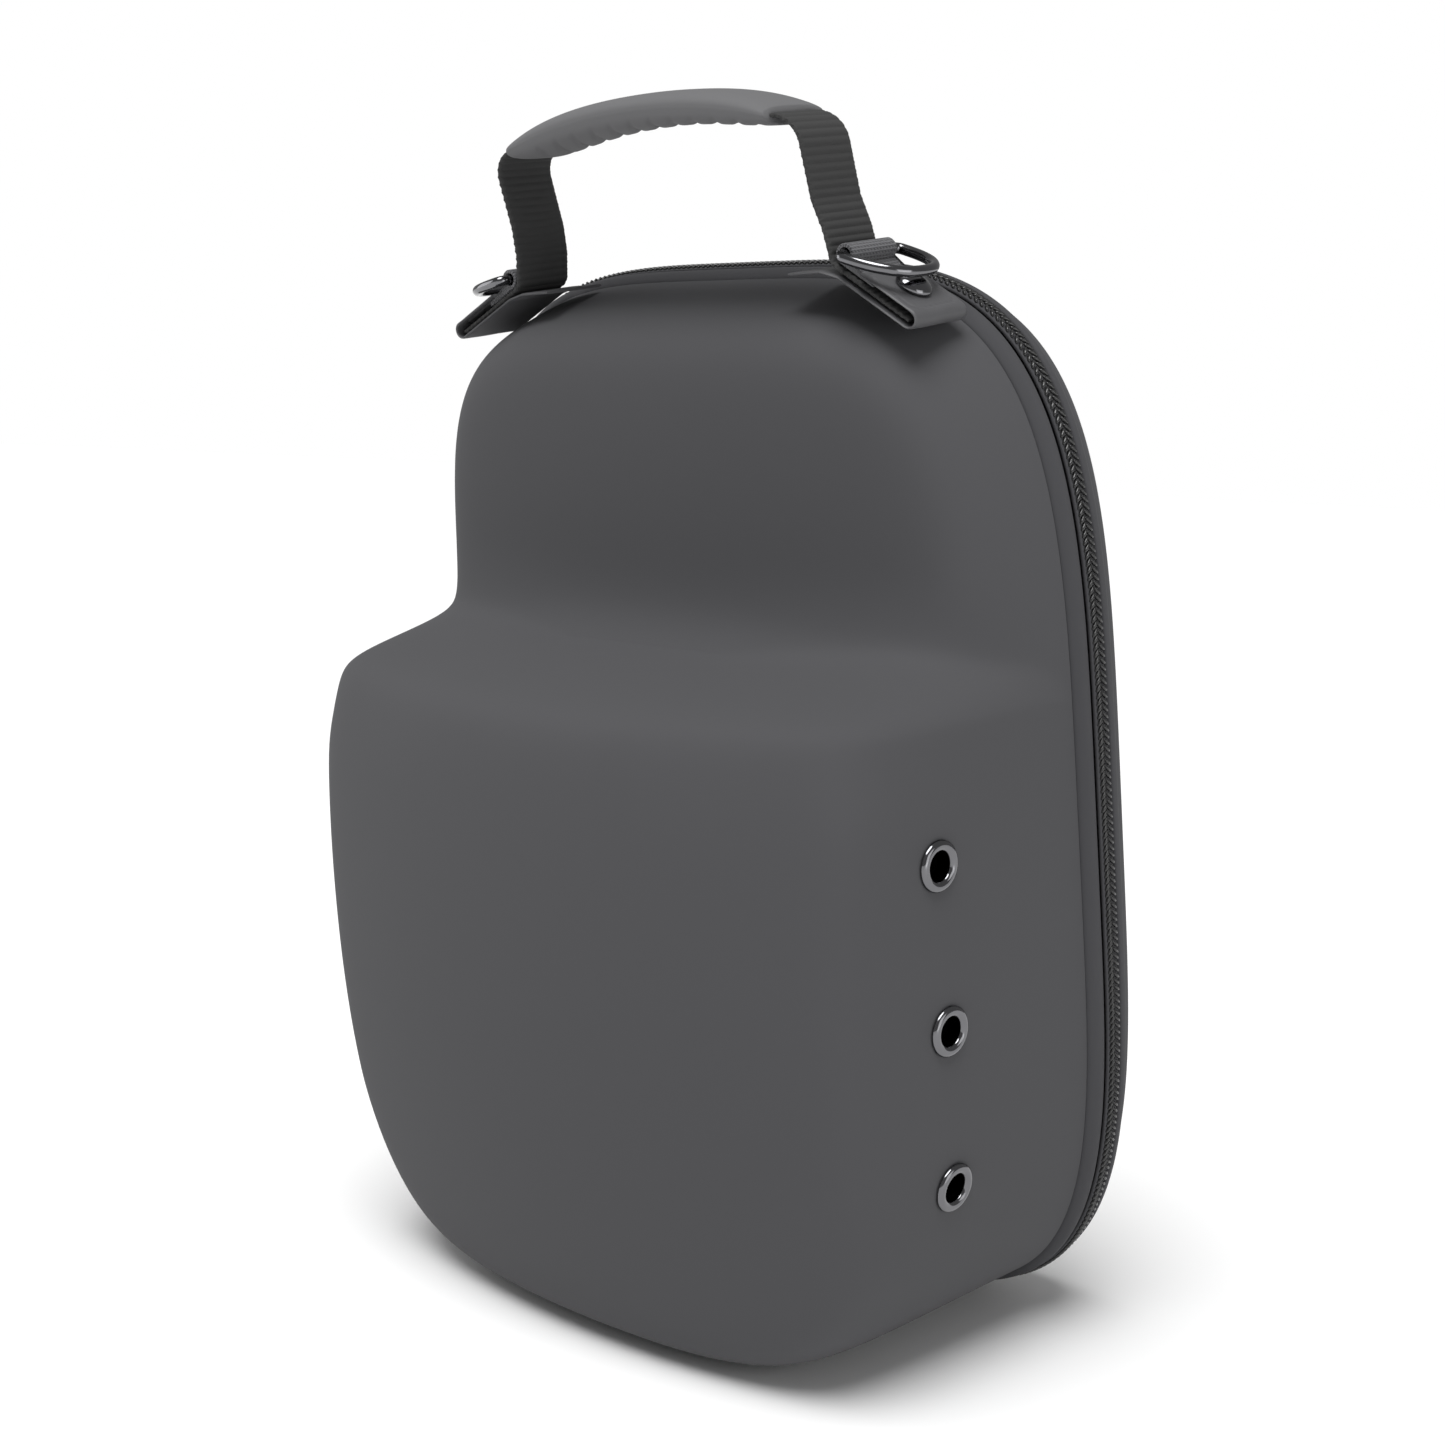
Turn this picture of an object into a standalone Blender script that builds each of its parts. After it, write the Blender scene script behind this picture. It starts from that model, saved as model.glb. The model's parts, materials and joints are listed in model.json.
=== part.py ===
"""Moulded carrier case for baseball caps, with a zip all round and a handle.

The case is drawn in its own frame: the plane where the front shell meets the
zip is y = 0, the front shell bulges towards -Y, +Z is up and z = 0 is half the
height of the rim. At the end it is stood on the floor, leaning forward until
both the zip band and the front shell's bottom touch.
"""

from math import atan2, cos, pi, radians, sin, tan

import bmesh
import bpy
import numpy as np
from mathutils import Matrix, Vector

MM = 0.001
GAP = 0.3 * MM
AXIS = 0.05 * MM

# Rim of both shells, a rounded oblong
RIM_HEIGHT = 315 * MM
RIM_WIDTH = 229 * MM
RIM_POWER = 4.1
RIM_NARROWING = 0.02
SHELL_WALL = 3 * MM

# Front shell: a deep dome for the crown of the caps
CROWN_DEPTH = 116.4 * MM
CROWN_SIDE_FALL = 23 * MM
CROWN_END_FALL = 12 * MM
CROWN_HEIGHT = 215.8 * MM
CROWN_TOP_DRAFT = radians(1.2)
CROWN_SIDE_DRAFT = radians(5.5)
CROWN_BOTTOM_DRAFT = radians(9.5)
CROWN_ROUNDNESS = 4.5
CROWN_TOP_ROUNDNESS = 1.83

# Front shell: a shallow box above it for the brims
BRIM_DEPTH = 39.3 * MM
BRIM_SIDE_FALL = 6 * MM
BRIM_FLARE = 10.8 * MM
BRIM_FLARE_HEIGHT = 7.2 * MM
BRIM_SIDE_DRAFT = radians(18)
BRIM_TOP_DRAFT = radians(14)
BRIM_ROUNDNESS = 2.7
STEP_FILLET = 1.05
STEP_CORNER = 24 * MM

# Zip: two woven tapes with the chain between them, and its slider
TAPE_DEPTH = 6.2 * MM
TAPE_BULGE = 3.0 * MM
TAPE_WALL = 3.4 * MM
CHAIN_WIDTH = 6.0 * MM
CHAIN_THICKNESS = 2.4 * MM
CHAIN_OUTWARD = 4.4 * MM
REAR_TAPE_DEPTH = 6.0 * MM
REAR_TAPE_OUTWARD = 4.0 * MM
SLIDER_HEIGHT = -40 * MM
SLIDER_LENGTH = 14 * MM
SLIDER_WIDTH = 9 * MM
SLIDER_THICKNESS = 3.5 * MM
PULL_LENGTH = 30 * MM
PULL_THICKNESS = 2 * MM

# Back shell: a flat panel with a rounded edge
BACK_DEPTH = 15 * MM
BACK_ROUND = 17 * MM
BACK_ROUNDNESS = 2.3

# Eyelets in each side wall
EYELET_COUNT = 3
EYELET_FORWARD = 60 * MM
EYELET_TOP = 11 * MM
EYELET_PITCH = 46.5 * MM
EYELET_RADIUS = 7.1 * MM
EYELET_BORE = 4.0 * MM
EYELET_LIP = 1.6 * MM
EYELET_BARREL = 0.9 * MM

# Handle: a webbing strap through a moulded grip
HANDLE_Y = -16 * MM
HANDLE_LEAN = radians(11)
HANDLE_LEAN_START = 11.5 * MM
HANDLE_SKEW = radians(1.8)
STRAP_WIDTH = 22 * MM
STRAP_THICKNESS = 1.8 * MM
STRAP_BEND = 4 * MM
STRAP_SHORT = 2.5 * MM
STRAP_FOOT = 0.6 * MM
STRAP_SHOULDER = 8 * MM
HANDLE_RISE = 48 * MM
GRIP_LENGTH = 98 * MM
GRIP_WIDTH = 27 * MM
GRIP_THICKNESS = 9.5 * MM
GRIP_ARCH = 6 * MM

# Leather tabs that hold the strap's ends
TAB_LEATHER = 0.9 * MM
TAB_WIDTH = 24 * MM
TAB_LENGTH = 30 * MM
TAB_INNER_LENGTH = 14 * MM
TAB_LAP = 21 * MM
TAB_SLOPE_RIGHT = radians(34)
TAB_SLOPE_LEFT = radians(25)
TAB_BEND_X = 60.5 * MM
TAB_ABOVE_RIM = 1 * MM
RIVET_RADIUS = 5.2 * MM
RIVET_DOME = 2.6 * MM
RIVET_RIM = 0.4 * MM
RIVET_BACK = 1 * MM

# D-rings, each held at the foot of the strap by a folded keeper
RING_WIRE = 3.0 * MM
RING_WIDTH = 27 * MM
RING_REACH = 19 * MM
RING_CORNER = 4 * MM
RING_ROUNDNESS = 2.3
RING_BAR_POWER = 5
RING_POINTS = 32
KEEPER_WIDTH = 20 * MM
KEEPER_THICKNESS = 1.0 * MM
KEEPER_LAP = 4 * MM
KEEPER_BORE = RING_WIRE / 2 + 1.4 * GAP

# Smoothness of the meshes
FRONT_COLUMNS = 24
FRONT_ROWS = 36
STEP_CROWDING = 12.0
STEP_CROWD_REACH = 7 * MM
STEP_CROWD_BELOW = 1.5 * MM
BACK_RINGS = 7
RIM_POINTS = 60
SEARCH_DEPTH = 45 * MM
ROUND_SIDES = 16

SIDES = {"right": 1, "left": -1}
CROWN_TOP = CROWN_HEIGHT - RIM_HEIGHT / 2
CROWN_MIDDLE = (CROWN_TOP - RIM_HEIGHT / 2) / 2
TAB_BEND_Z = RIM_HEIGHT / 2 + TAB_ABOVE_RIM
CHAIN_START = TAPE_DEPTH + 2 * GAP
REAR_TAPE_START = CHAIN_START + CHAIN_WIDTH + GAP
BACK_START = REAR_TAPE_START + REAR_TAPE_DEPTH + GAP


def clear_scene():
    for obj in list(bpy.data.objects):
        bpy.data.objects.remove(obj, do_unlink=True)


def material(name, colour, roughness, metallic=0.0):
    made = bpy.data.materials.new(name)
    made.use_nodes = True
    shader = made.node_tree.nodes["Principled BSDF"]
    shader.inputs["Base Color"].default_value = (*colour, 1)
    shader.inputs["Roughness"].default_value = roughness
    shader.inputs["Metallic"].default_value = metallic
    return made


def mesh_object(name, points, faces, finish, parent=None, sharp=40):
    mesh = bpy.data.meshes.new(name)
    mesh.from_pydata([tuple(point) for point in points], [], faces)
    work = bmesh.new()
    work.from_mesh(mesh)
    bmesh.ops.recalc_face_normals(work, faces=work.faces)
    bmesh.ops.triangulate(work, faces=[face for face in work.faces if len(face.verts) > 4])
    work.to_mesh(mesh)
    work.free()
    mesh.shade_smooth()
    mesh.set_sharp_from_angle(angle=radians(sharp))
    mesh.materials.append(finish)
    obj = bpy.data.objects.new(name, mesh)
    bpy.context.scene.collection.objects.link(obj)
    obj.parent = parent
    return obj


def frame_at(name, location=(0, 0, 0), rotation=(0, 0, 0), parent=None):
    empty = bpy.data.objects.new(name, None)
    bpy.context.scene.collection.objects.link(empty)
    empty.location = location
    empty.rotation_euler = rotation
    empty.parent = parent
    return empty


def grid_faces(rows, columns, close_rows=False, close_columns=True):
    """Quads of a grid whose point (row, column) has the number row * columns + column."""
    faces = []
    for row in range(rows if close_rows else rows - 1):
        for column in range(columns if close_columns else columns - 1):
            below, beside = (row + 1) % rows, (column + 1) % columns
            faces.append(
                (
                    row * columns + column,
                    row * columns + beside,
                    below * columns + beside,
                    below * columns + column,
                )
            )
    return faces


def smooth_step(low, high, value):
    share = np.clip((value - low) / (high - low), 0, 1)
    return share * share * (3 - 2 * share)


def power_sum(values, power):
    """The values joined so that the largest rules and equals blend softly."""
    return sum(value**power for value in values) ** (1 / power)


def larger(one, other, reach):
    """The larger of two depths, raised where they differ by less than reach."""
    near = np.maximum(reach - np.abs(one - other), 0)
    return np.maximum(one, other) + near**2 / (4 * reach)


def rim_outline(count, inset=0.0):
    """Evenly spaced points along the rim, in x and z, and the outward normal at each.

    The rim is a superellipse a little narrower at the top.
    """
    angle = np.linspace(0, 2 * pi, 2400, endpoint=False)
    across, up = np.cos(angle), np.sin(angle)
    x = RIM_WIDTH / 2 * np.sign(across) * np.abs(across) ** (2 / RIM_POWER)
    z = RIM_HEIGHT / 2 * np.sign(up) * np.abs(up) ** (2 / RIM_POWER)
    x = x * (1 - RIM_NARROWING * z / (RIM_HEIGHT / 2))
    closed_x, closed_z = np.append(x, x[0]), np.append(z, z[0])
    length = np.concatenate([[0], np.cumsum(np.hypot(np.diff(closed_x), np.diff(closed_z)))])
    wanted = np.linspace(0, length[-1], count, endpoint=False)
    x, z = np.interp(wanted, length, closed_x), np.interp(wanted, length, closed_z)
    ahead_x, ahead_z = np.roll(x, -1) - np.roll(x, 1), np.roll(z, -1) - np.roll(z, 1)
    span = np.hypot(ahead_x, ahead_z)
    normal_x, normal_z = ahead_z / span, -ahead_x / span
    return x - inset * normal_x, z - inset * normal_z, normal_x, normal_z


def rim_half_width(height):
    """Half the rim's width at a height, from the superellipse itself."""
    half = RIM_HEIGHT / 2
    share = (1 - abs(height / half) ** RIM_POWER) ** (1 / RIM_POWER)
    return RIM_WIDTH / 2 * share * (1 - RIM_NARROWING * height / half)


def front_depth(x, z, inset, skin):
    """How far the front shell bulges at x, z, which lies inset inside the rim.

    Each form is the soft least of what its drafted side walls and its face allow,
    and for the crown also of what its drafted top allows, which falls in a quarter
    circle at both sides. The shell is the larger
    of the crown and the brim form, with a fillet. skin takes a wall off every side.
    """
    half_width, half_height = RIM_WIDTH / 2, RIM_HEIGHT / 2
    low = smooth_step(-half_height / 2, -half_height, z)
    high = smooth_step(half_height / 2, half_height, z)
    crown_draft = CROWN_SIDE_DRAFT + (CROWN_BOTTOM_DRAFT - CROWN_SIDE_DRAFT) * low
    brim_draft = BRIM_SIDE_DRAFT + (BRIM_TOP_DRAFT - BRIM_SIDE_DRAFT) * high
    off_middle = (x / half_width) ** 2
    off_crown = ((z - CROWN_MIDDLE) / (CROWN_HEIGHT / 2)) ** 2
    flare = BRIM_FLARE * np.exp(-np.abs(z - CROWN_TOP) / BRIM_FLARE_HEIGHT)
    crown_face = CROWN_DEPTH - CROWN_SIDE_FALL * off_middle - CROWN_END_FALL * off_crown - skin
    brim_face = BRIM_DEPTH - BRIM_SIDE_FALL * off_middle + flare - skin
    inset = np.maximum(inset, 1e-6)
    corner = np.clip((np.abs(x) - half_width + STEP_CORNER) / STEP_CORNER, 0, 1)
    fall = STEP_CORNER * (1 - np.sqrt(1 - 0.98 * corner**2))
    below_top = np.maximum(CROWN_TOP - fall - skin - z, 1e-6)
    capped = power_sum((below_top / tan(CROWN_TOP_DRAFT), crown_face), -CROWN_TOP_ROUNDNESS)
    crown = power_sum((inset / np.tan(crown_draft), capped), -CROWN_ROUNDNESS)
    brim = power_sum((inset / np.tan(brim_draft), brim_face), -BRIM_ROUNDNESS)
    return larger(crown, brim, STEP_FILLET * brim)


def spaced_shares(count, crowd_at, crowding):
    """Shares from -1 to 1, closest together at both ends and round crowd_at."""
    even = np.linspace(-1, 1, 4001)
    shares = np.sign(even) * (1 - (1 - np.abs(even)) ** 2)
    nearness = ((shares - crowd_at) * (RIM_HEIGHT / 2) / STEP_CROWD_REACH) ** 2
    total = np.cumsum(1 + crowding * np.exp(-nearness))
    total = (total - total[0]) / (total[-1] - total[0])
    return np.interp(np.linspace(0, 1, count + 1), total, shares)


def front_surface(skin):
    """A grid of points over the front shell, row by row from its bottom, and its edge's numbers.

    A square of shares is rounded to the rim's superellipse, each share shrinking only
    near the other's ends, so that the rows run level across the step. The inset of a
    point is how far its share of the superellipse is from 1, over that share's slope.
    """
    across = spaced_shares(FRONT_COLUMNS, 0, 0)
    step = (CROWN_TOP - STEP_CROWD_BELOW) / (RIM_HEIGHT / 2)
    up = spaced_shares(FRONT_ROWS, step, STEP_CROWDING)
    across, up = np.meshgrid(across, up)
    narrowed = (1 - np.abs(up) ** RIM_POWER / 2) ** (1 / RIM_POWER)
    lowered = (1 - np.abs(across) ** RIM_POWER / 2) ** (1 / RIM_POWER)
    across, up = across * narrowed, up * lowered
    reach = (np.abs(across) ** RIM_POWER + np.abs(up) ** RIM_POWER) ** (1 / RIM_POWER)
    half_width, half_height = RIM_WIDTH / 2 - skin, RIM_HEIGHT / 2 - skin
    slope = np.hypot(
        np.abs(across) ** (RIM_POWER - 1) / half_width, np.abs(up) ** (RIM_POWER - 1) / half_height
    )
    slope = slope / np.maximum(reach, 1e-3) ** (RIM_POWER - 1)
    inset = np.minimum((1 - reach) / np.maximum(slope, 1e-6), half_width)
    x = across * half_width * (1 - RIM_NARROWING * up)
    z = up * half_height
    depth = front_depth(x, z, inset, skin)
    depth[reach > 1 - 1e-9] = 0
    points = np.stack([x, -depth, z], -1).reshape(-1, 3)
    number = np.arange(len(points)).reshape(x.shape)
    edge = np.concatenate([number[0, :-1], number[:-1, -1], number[-1, :0:-1], number[:0:-1, 0]])
    return points, grid_faces(*x.shape, close_columns=False), edge


def back_surface(skin):
    """As front_surface, for the back shell: a rounded edge and then a flat panel."""
    x, z, normal_x, normal_z = rim_outline(RIM_POINTS, skin)
    rings = []
    reach = BACK_ROUND - skin
    for turn in np.linspace(0, pi / 2, BACK_RINGS):
        inset = reach * (1 - cos(turn) ** (2 / BACK_ROUNDNESS))
        depth = (BACK_DEPTH - skin) * sin(turn) ** (2 / BACK_ROUNDNESS)
        ring_x, ring_z = x - inset * normal_x, z - inset * normal_z
        rings.append(np.stack([ring_x, np.full(RIM_POINTS, BACK_START + depth), ring_z], -1))
    middle = np.array([[0, BACK_START + BACK_DEPTH - skin, 0]])
    points = np.concatenate([*rings, middle])
    faces = grid_faces(BACK_RINGS, RIM_POINTS)
    last = (BACK_RINGS - 1) * RIM_POINTS
    faces += [(last + c, last + (c + 1) % RIM_POINTS, len(points) - 1) for c in range(RIM_POINTS)]
    return points, faces, np.arange(RIM_POINTS)


def shell_mesh(surface):
    """A cup whose outer and inner skins meet in a flat rim."""
    outer, faces, edge = surface(0.0)
    inner, _, _ = surface(SHELL_WALL)
    shift = len(outer)
    faces = faces + [tuple(shift + corner for corner in face) for face in faces]
    for here, beside in zip(edge, np.roll(edge, -1)):
        faces.append((here, beside, shift + beside, shift + here))
    return np.concatenate([outer, inner]), [tuple(map(int, face)) for face in faces]


def swept_round_rim(section):
    """A closed section of (outward, y) points carried round the rim."""
    x, z, normal_x, normal_z = rim_outline(RIM_POINTS)
    rows = [
        np.stack([x + out * normal_x, np.full(RIM_POINTS, y), z + out * normal_z], -1)
        for out, y in section
    ]
    return np.concatenate(rows), grid_faces(len(section), RIM_POINTS, close_rows=True)


def tape_section(start, depth, out_start, out_end, bulge):
    """A band's section: its outer side is a low arc, its inner side is flat."""
    section = []
    for share in np.linspace(0, 1, 5):
        out = out_start + (out_end - out_start) * share + bulge * sin(pi * share)
        section.append((out, start + depth * share))
    inner = -TAPE_WALL
    return section + [(inner, start + depth), (inner, start)]


def forward_lean(height):
    """How far forward the handle leans at a height in the case's frame."""
    return tan(HANDLE_LEAN) * max(height - TAB_BEND_Z - HANDLE_LEAN_START, 0)


def prism(name, outline, y, width, finish, parent, lean=lambda height: 0):
    """A flat outline in x and z, given a width along y about y, less its lean there."""
    count = len(outline)
    points = [(px, y - width / 2 - lean(pz), pz) for px, pz in outline]
    points += [(px, y + width / 2 - lean(pz), pz) for px, pz in outline]
    faces = [tuple(range(count)), tuple(reversed(range(count, 2 * count)))]
    faces += [(i, i + count, (i + 1) % count + count, (i + 1) % count) for i in range(count)]
    return mesh_object(name, points, faces, finish, parent)


def thickened(path, thickness):
    """The outline of a strip of even thickness that follows a path in x and z.

    At each bend the side points lie on the bisector, moved out to keep the thickness.
    """
    path = np.array(path)
    pieces = np.diff(path, axis=0)
    pieces /= np.linalg.norm(pieces, axis=1, keepdims=True)
    before, after = np.vstack([pieces[:1], pieces]), np.vstack([pieces, pieces[-1:]])
    along = before + after
    along /= np.linalg.norm(along, axis=1, keepdims=True)
    spread = thickness / 2 / (along * after).sum(axis=1, keepdims=True)
    side = np.stack([-along[:, 1], along[:, 0]], -1) * spread
    return [*map(tuple, path + side), *map(tuple, (path - side)[::-1])]


def arc(centre, radius, start, end, count):
    turns = np.linspace(start, end, count)
    return [(centre[0] + radius * cos(t), centre[1] + radius * sin(t)) for t in turns]


def turned(name, profile, centre, axis, finish, parent, sides=ROUND_SIDES):
    """A closed profile of (radius, height) points turned about an axis through centre."""
    turn = Vector((0, 0, 1)).rotation_difference(Vector(axis)).to_matrix()
    points = []
    for radius, height in profile:
        for side in range(sides):
            angle = 2 * pi * side / sides
            local = Vector((radius * cos(angle), radius * sin(angle), height))
            points.append(turn @ local + Vector(centre))
    faces = grid_faces(len(profile), sides, close_rows=True)
    return mesh_object(name, points, faces, finish, parent)


def make_shells(case, finish):
    front = mesh_object("front_shell", *shell_mesh(front_surface), finish, case)
    mesh_object("back_shell", *shell_mesh(back_surface), finish, case)
    return front


def make_zip(case, cloth, teeth, metal):
    front = tape_section(GAP, TAPE_DEPTH - GAP, 0.2 * MM, 2.4 * MM, TAPE_BULGE / 2)
    mesh_object("zip_tape_front", *swept_round_rim(front), cloth, case)
    inner, outer = CHAIN_OUTWARD - CHAIN_THICKNESS, CHAIN_OUTWARD
    chain = [
        (outer - GAP * 2, CHAIN_START),
        (outer, CHAIN_START + CHAIN_WIDTH / 2),
        (outer, CHAIN_START + CHAIN_WIDTH),
        (inner, CHAIN_START + CHAIN_WIDTH),
        (inner, CHAIN_START),
    ]
    mesh_object("zip_chain", *swept_round_rim(chain), teeth, case)
    rear = tape_section(
        REAR_TAPE_START, REAR_TAPE_DEPTH, REAR_TAPE_OUTWARD, REAR_TAPE_OUTWARD / 2, TAPE_BULGE / 6
    )
    mesh_object("zip_tape_rear", *swept_round_rim(rear), cloth, case)
    seat = -(rim_half_width(SLIDER_HEIGHT) + CHAIN_OUTWARD + GAP)
    top, bottom = SLIDER_HEIGHT + SLIDER_LENGTH / 2, SLIDER_HEIGHT - SLIDER_LENGTH / 2
    slider = [
        (seat, top),
        (seat, bottom - PULL_LENGTH),
        (seat - PULL_THICKNESS, bottom - PULL_LENGTH),
        (seat - PULL_THICKNESS, bottom),
        (seat - SLIDER_THICKNESS, bottom + SLIDER_THICKNESS),
        (seat - SLIDER_THICKNESS, top - SLIDER_THICKNESS),
        (seat - PULL_THICKNESS, top),
    ]
    middle = CHAIN_START + CHAIN_WIDTH / 2
    prism("zip_slider", slider, middle, SLIDER_WIDTH, metal, case)


def side_wall_place(height, forward):
    """The front shell's side wall at a height and depth: its x and its outward normal."""

    def depth_at(inset, z):
        half = np.array([rim_half_width(z) - inset])
        return front_depth(half, np.array([z]), np.array([inset]), 0.0)[0]

    def inset_at(z, depth):
        low, high = 0.0, SEARCH_DEPTH
        for _ in range(40):
            middle = (low + high) / 2
            low, high = (middle, high) if depth_at(middle, z) < depth else (low, middle)
        return low

    def x_at(z, depth):
        return rim_half_width(z) - inset_at(z, depth)

    here = x_at(height, forward)
    slope_z = (x_at(height + MM, forward) - x_at(height - MM, forward)) / (2 * MM)
    slope_y = (x_at(height, forward + MM) - x_at(height, forward - MM)) / (2 * MM)
    return here, Vector((1, slope_y, -slope_z)).normalized()


def eyelet_profile():
    """A rolled ring: its lip lies on the wall, its barrel goes through it."""
    inside, shank = EYELET_BORE, EYELET_BORE + EYELET_BARREL
    through = -SHELL_WALL - 2 * GAP
    return [
        (inside, through),
        (inside, EYELET_LIP / 2),
        (inside + EYELET_LIP / 2, EYELET_LIP),
        (EYELET_RADIUS - EYELET_LIP / 2, EYELET_LIP),
        (EYELET_RADIUS, GAP),
        (shank, GAP),
        (shank, through),
    ]


def make_eyelets(case, front, metal):
    for side, sign in SIDES.items():
        for number in range(EYELET_COUNT):
            height = EYELET_TOP - number * EYELET_PITCH
            x, normal = side_wall_place(height, EYELET_FORWARD)
            centre = (sign * x, -EYELET_FORWARD, height)
            axis = (sign * normal.x, normal.y, normal.z)
            name = f"eyelet_{side}_{number + 1}"
            turned(name, eyelet_profile(), centre, axis, metal, case)
            hole = EYELET_BORE + EYELET_BARREL + GAP * 1.2
            reach = EYELET_RADIUS * 2
            plug = [(AXIS, -reach), (AXIS, reach), (hole, reach), (hole, -reach)]
            cutter = turned(f"cut_{name}", plug, centre, axis, metal, case)
            fill_bore(cutter)
            cutter.hide_render = True
            cutter.display_type = "WIRE"
            drill = front.modifiers.new(name, "BOOLEAN")
            drill.operation = "DIFFERENCE"
            drill.object = cutter


def fill_bore(obj):
    """Closes a turned tube into a solid rod by merging its inner rings into points."""
    work = bmesh.new()
    work.from_mesh(obj.data)
    bmesh.ops.remove_doubles(work, verts=work.verts, dist=3 * AXIS)
    work.faces.ensure_lookup_table()
    bmesh.ops.recalc_face_normals(work, faces=work.faces)
    work.to_mesh(obj.data)
    work.free()


def tab_slope(sign):
    return TAB_SLOPE_RIGHT if sign > 0 else TAB_SLOPE_LEFT


def tab_frame(sign):
    """Along the tab's slope, outwards and down, and square to it, as (x, z) pairs."""
    slope = tab_slope(sign)
    along = np.array([sign * cos(slope), -sin(slope)])
    square = np.array([sign * sin(slope), cos(slope)])
    return along, square


def on_tab(sign, along_by, square_by):
    along, square = tab_frame(sign)
    bend = np.array([sign * TAB_BEND_X, TAB_BEND_Z])
    return tuple(bend + along * along_by + square * square_by)


def tab_layers():
    """Heights above the tab's underside of the strap, the keeper's tail and the top leather."""
    strap = TAB_LEATHER + GAP + STRAP_THICKNESS / 2
    tail = strap + STRAP_THICKNESS / 2 + GAP + KEEPER_THICKNESS / 2
    top = tail + KEEPER_THICKNESS / 2 + GAP + TAB_LEATHER / 2
    return strap, tail, top


def make_tab(side, sign, handle, leather):
    _, _, top = tab_layers()
    low = TAB_LEATHER / 2
    turn_radius = (top - low) / 2
    flat_end = (sign * (TAB_BEND_X - TAB_INNER_LENGTH), TAB_BEND_Z + low)
    path = [flat_end, (sign * (TAB_BEND_X - TAB_INNER_LENGTH / 4), TAB_BEND_Z + low)]
    path += [on_tab(sign, along, low) for along in (TAB_INNER_LENGTH / 4, TAB_LENGTH - turn_radius)]
    for turn in np.linspace(-pi / 2, pi / 2, 7)[1:-1]:
        along = TAB_LENGTH - turn_radius + turn_radius * cos(turn)
        path.append(on_tab(sign, along, low + turn_radius * (1 + sin(turn))))
    path += [on_tab(sign, along, top) for along in (TAB_LENGTH - turn_radius, TAB_LENGTH - TAB_LAP)]
    prism(f"tab_{side}", thickened(path, TAB_LEATHER), 0, TAB_WIDTH, leather, handle)


def rivet_along():
    return TAB_LENGTH - TAB_LAP / 2 - RIVET_BACK


def make_rivet(side, sign, handle, metal):
    """A domed cap on the tab. Its post is hidden inside the folded leather."""
    _, _, top = tab_layers()
    seat = top + TAB_LEATHER / 2 + GAP
    _, square = tab_frame(sign)
    x, z = on_tab(sign, rivet_along(), seat)
    dome = [(AXIS, RIVET_DOME + RIVET_RIM)]
    for turn in np.linspace(radians(18), radians(90), 4):
        dome.append((RIVET_RADIUS * sin(turn), RIVET_DOME * cos(turn) + RIVET_RIM))
    dome += [(RIVET_RADIUS, 0), (AXIS, 0)]
    rivet = turned(f"rivet_{side}", dome, (x, 0, z), (square[0], 0, square[1]), metal, handle)
    fill_bore(rivet)


def strap_path(sign):
    """The strap's middle line on one side, from inside the tab up to the grip's end."""
    strap, _, _ = tab_layers()
    path = [on_tab(sign, along, strap) for along in (TAB_LENGTH - STRAP_SHORT, TAB_LENGTH / 3, STRAP_FOOT)]
    start = np.array(path[-1])
    slope = tab_slope(sign)
    for heading in np.linspace(slope, pi / 2, 5)[1:]:
        inward = STRAP_BEND * (sin(heading) - sin(slope))
        upward = STRAP_BEND * (cos(slope) - cos(heading))
        path.append(tuple(start + np.array([-sign * inward, upward])))
    foot = np.array(path[-1])
    top_x, top_z = grip_end()
    shoulder_x, shoulder_z = top_x + 2 * GAP, top_z - STRAP_SHOULDER
    path.append((sign * (shoulder_x + STRAP_SHOULDER), (foot[1] + shoulder_z) / 2))
    for turn in np.linspace(0, pi / 2, 6):
        x = shoulder_x + STRAP_SHOULDER * cos(turn)
        path.append((sign * x, shoulder_z + STRAP_SHOULDER * sin(turn)))
    return path


def grip_end():
    """Where the strap meets the grip, from the handle's middle and above the tab's bend."""
    return GRIP_LENGTH / 2 - GAP, TAB_BEND_Z + HANDLE_RISE - GRIP_ARCH


def make_strap(side, sign, handle, webbing):
    outline = thickened(strap_path(sign), STRAP_THICKNESS)
    prism(f"strap_{side}", outline, 0, STRAP_WIDTH, webbing, handle, forward_lean)


def make_grip(handle, rubber):
    """An arched bar of rounded section, with its ends drawn in over the strap."""
    rows, sides = 15, 14
    points = []
    for share in np.linspace(-1, 1, rows):
        x = share * GRIP_LENGTH / 2
        lift = GRIP_ARCH * (1 - abs(share) ** 2.2)
        end = 1 - 0.45 * abs(share) ** 6
        base = TAB_BEND_Z + HANDLE_RISE - GRIP_ARCH
        for side in range(sides):
            angle = 2 * pi * side / sides
            y = GRIP_WIDTH / 2 * np.sign(cos(angle)) * abs(cos(angle)) ** 0.7
            z = GRIP_THICKNESS / 2 * end * np.sign(sin(angle)) * abs(sin(angle)) ** 0.8
            height = base + lift + z
            points.append((x, y - forward_lean(height), height))
    faces = grid_faces(rows, sides)
    faces += [tuple(range(sides)), tuple(reversed(range((rows - 1) * sides, rows * sides)))]
    mesh_object("grip", points, faces, rubber, handle)


def ring_bar_on_tab(sign):
    """The bar's place along and above the tab, with the keeper clear of the strap round it."""
    strap, _, _ = tab_layers()
    clear = STRAP_THICKNESS / 2 + GAP + KEEPER_BORE + KEEPER_THICKNESS
    above = strap + clear
    leg_x = abs(strap_path(sign)[6][0])
    slope = tab_slope(sign)
    along = (leg_x + clear + GAP - TAB_BEND_X - above * sin(slope)) / cos(slope)
    return along, above


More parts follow.
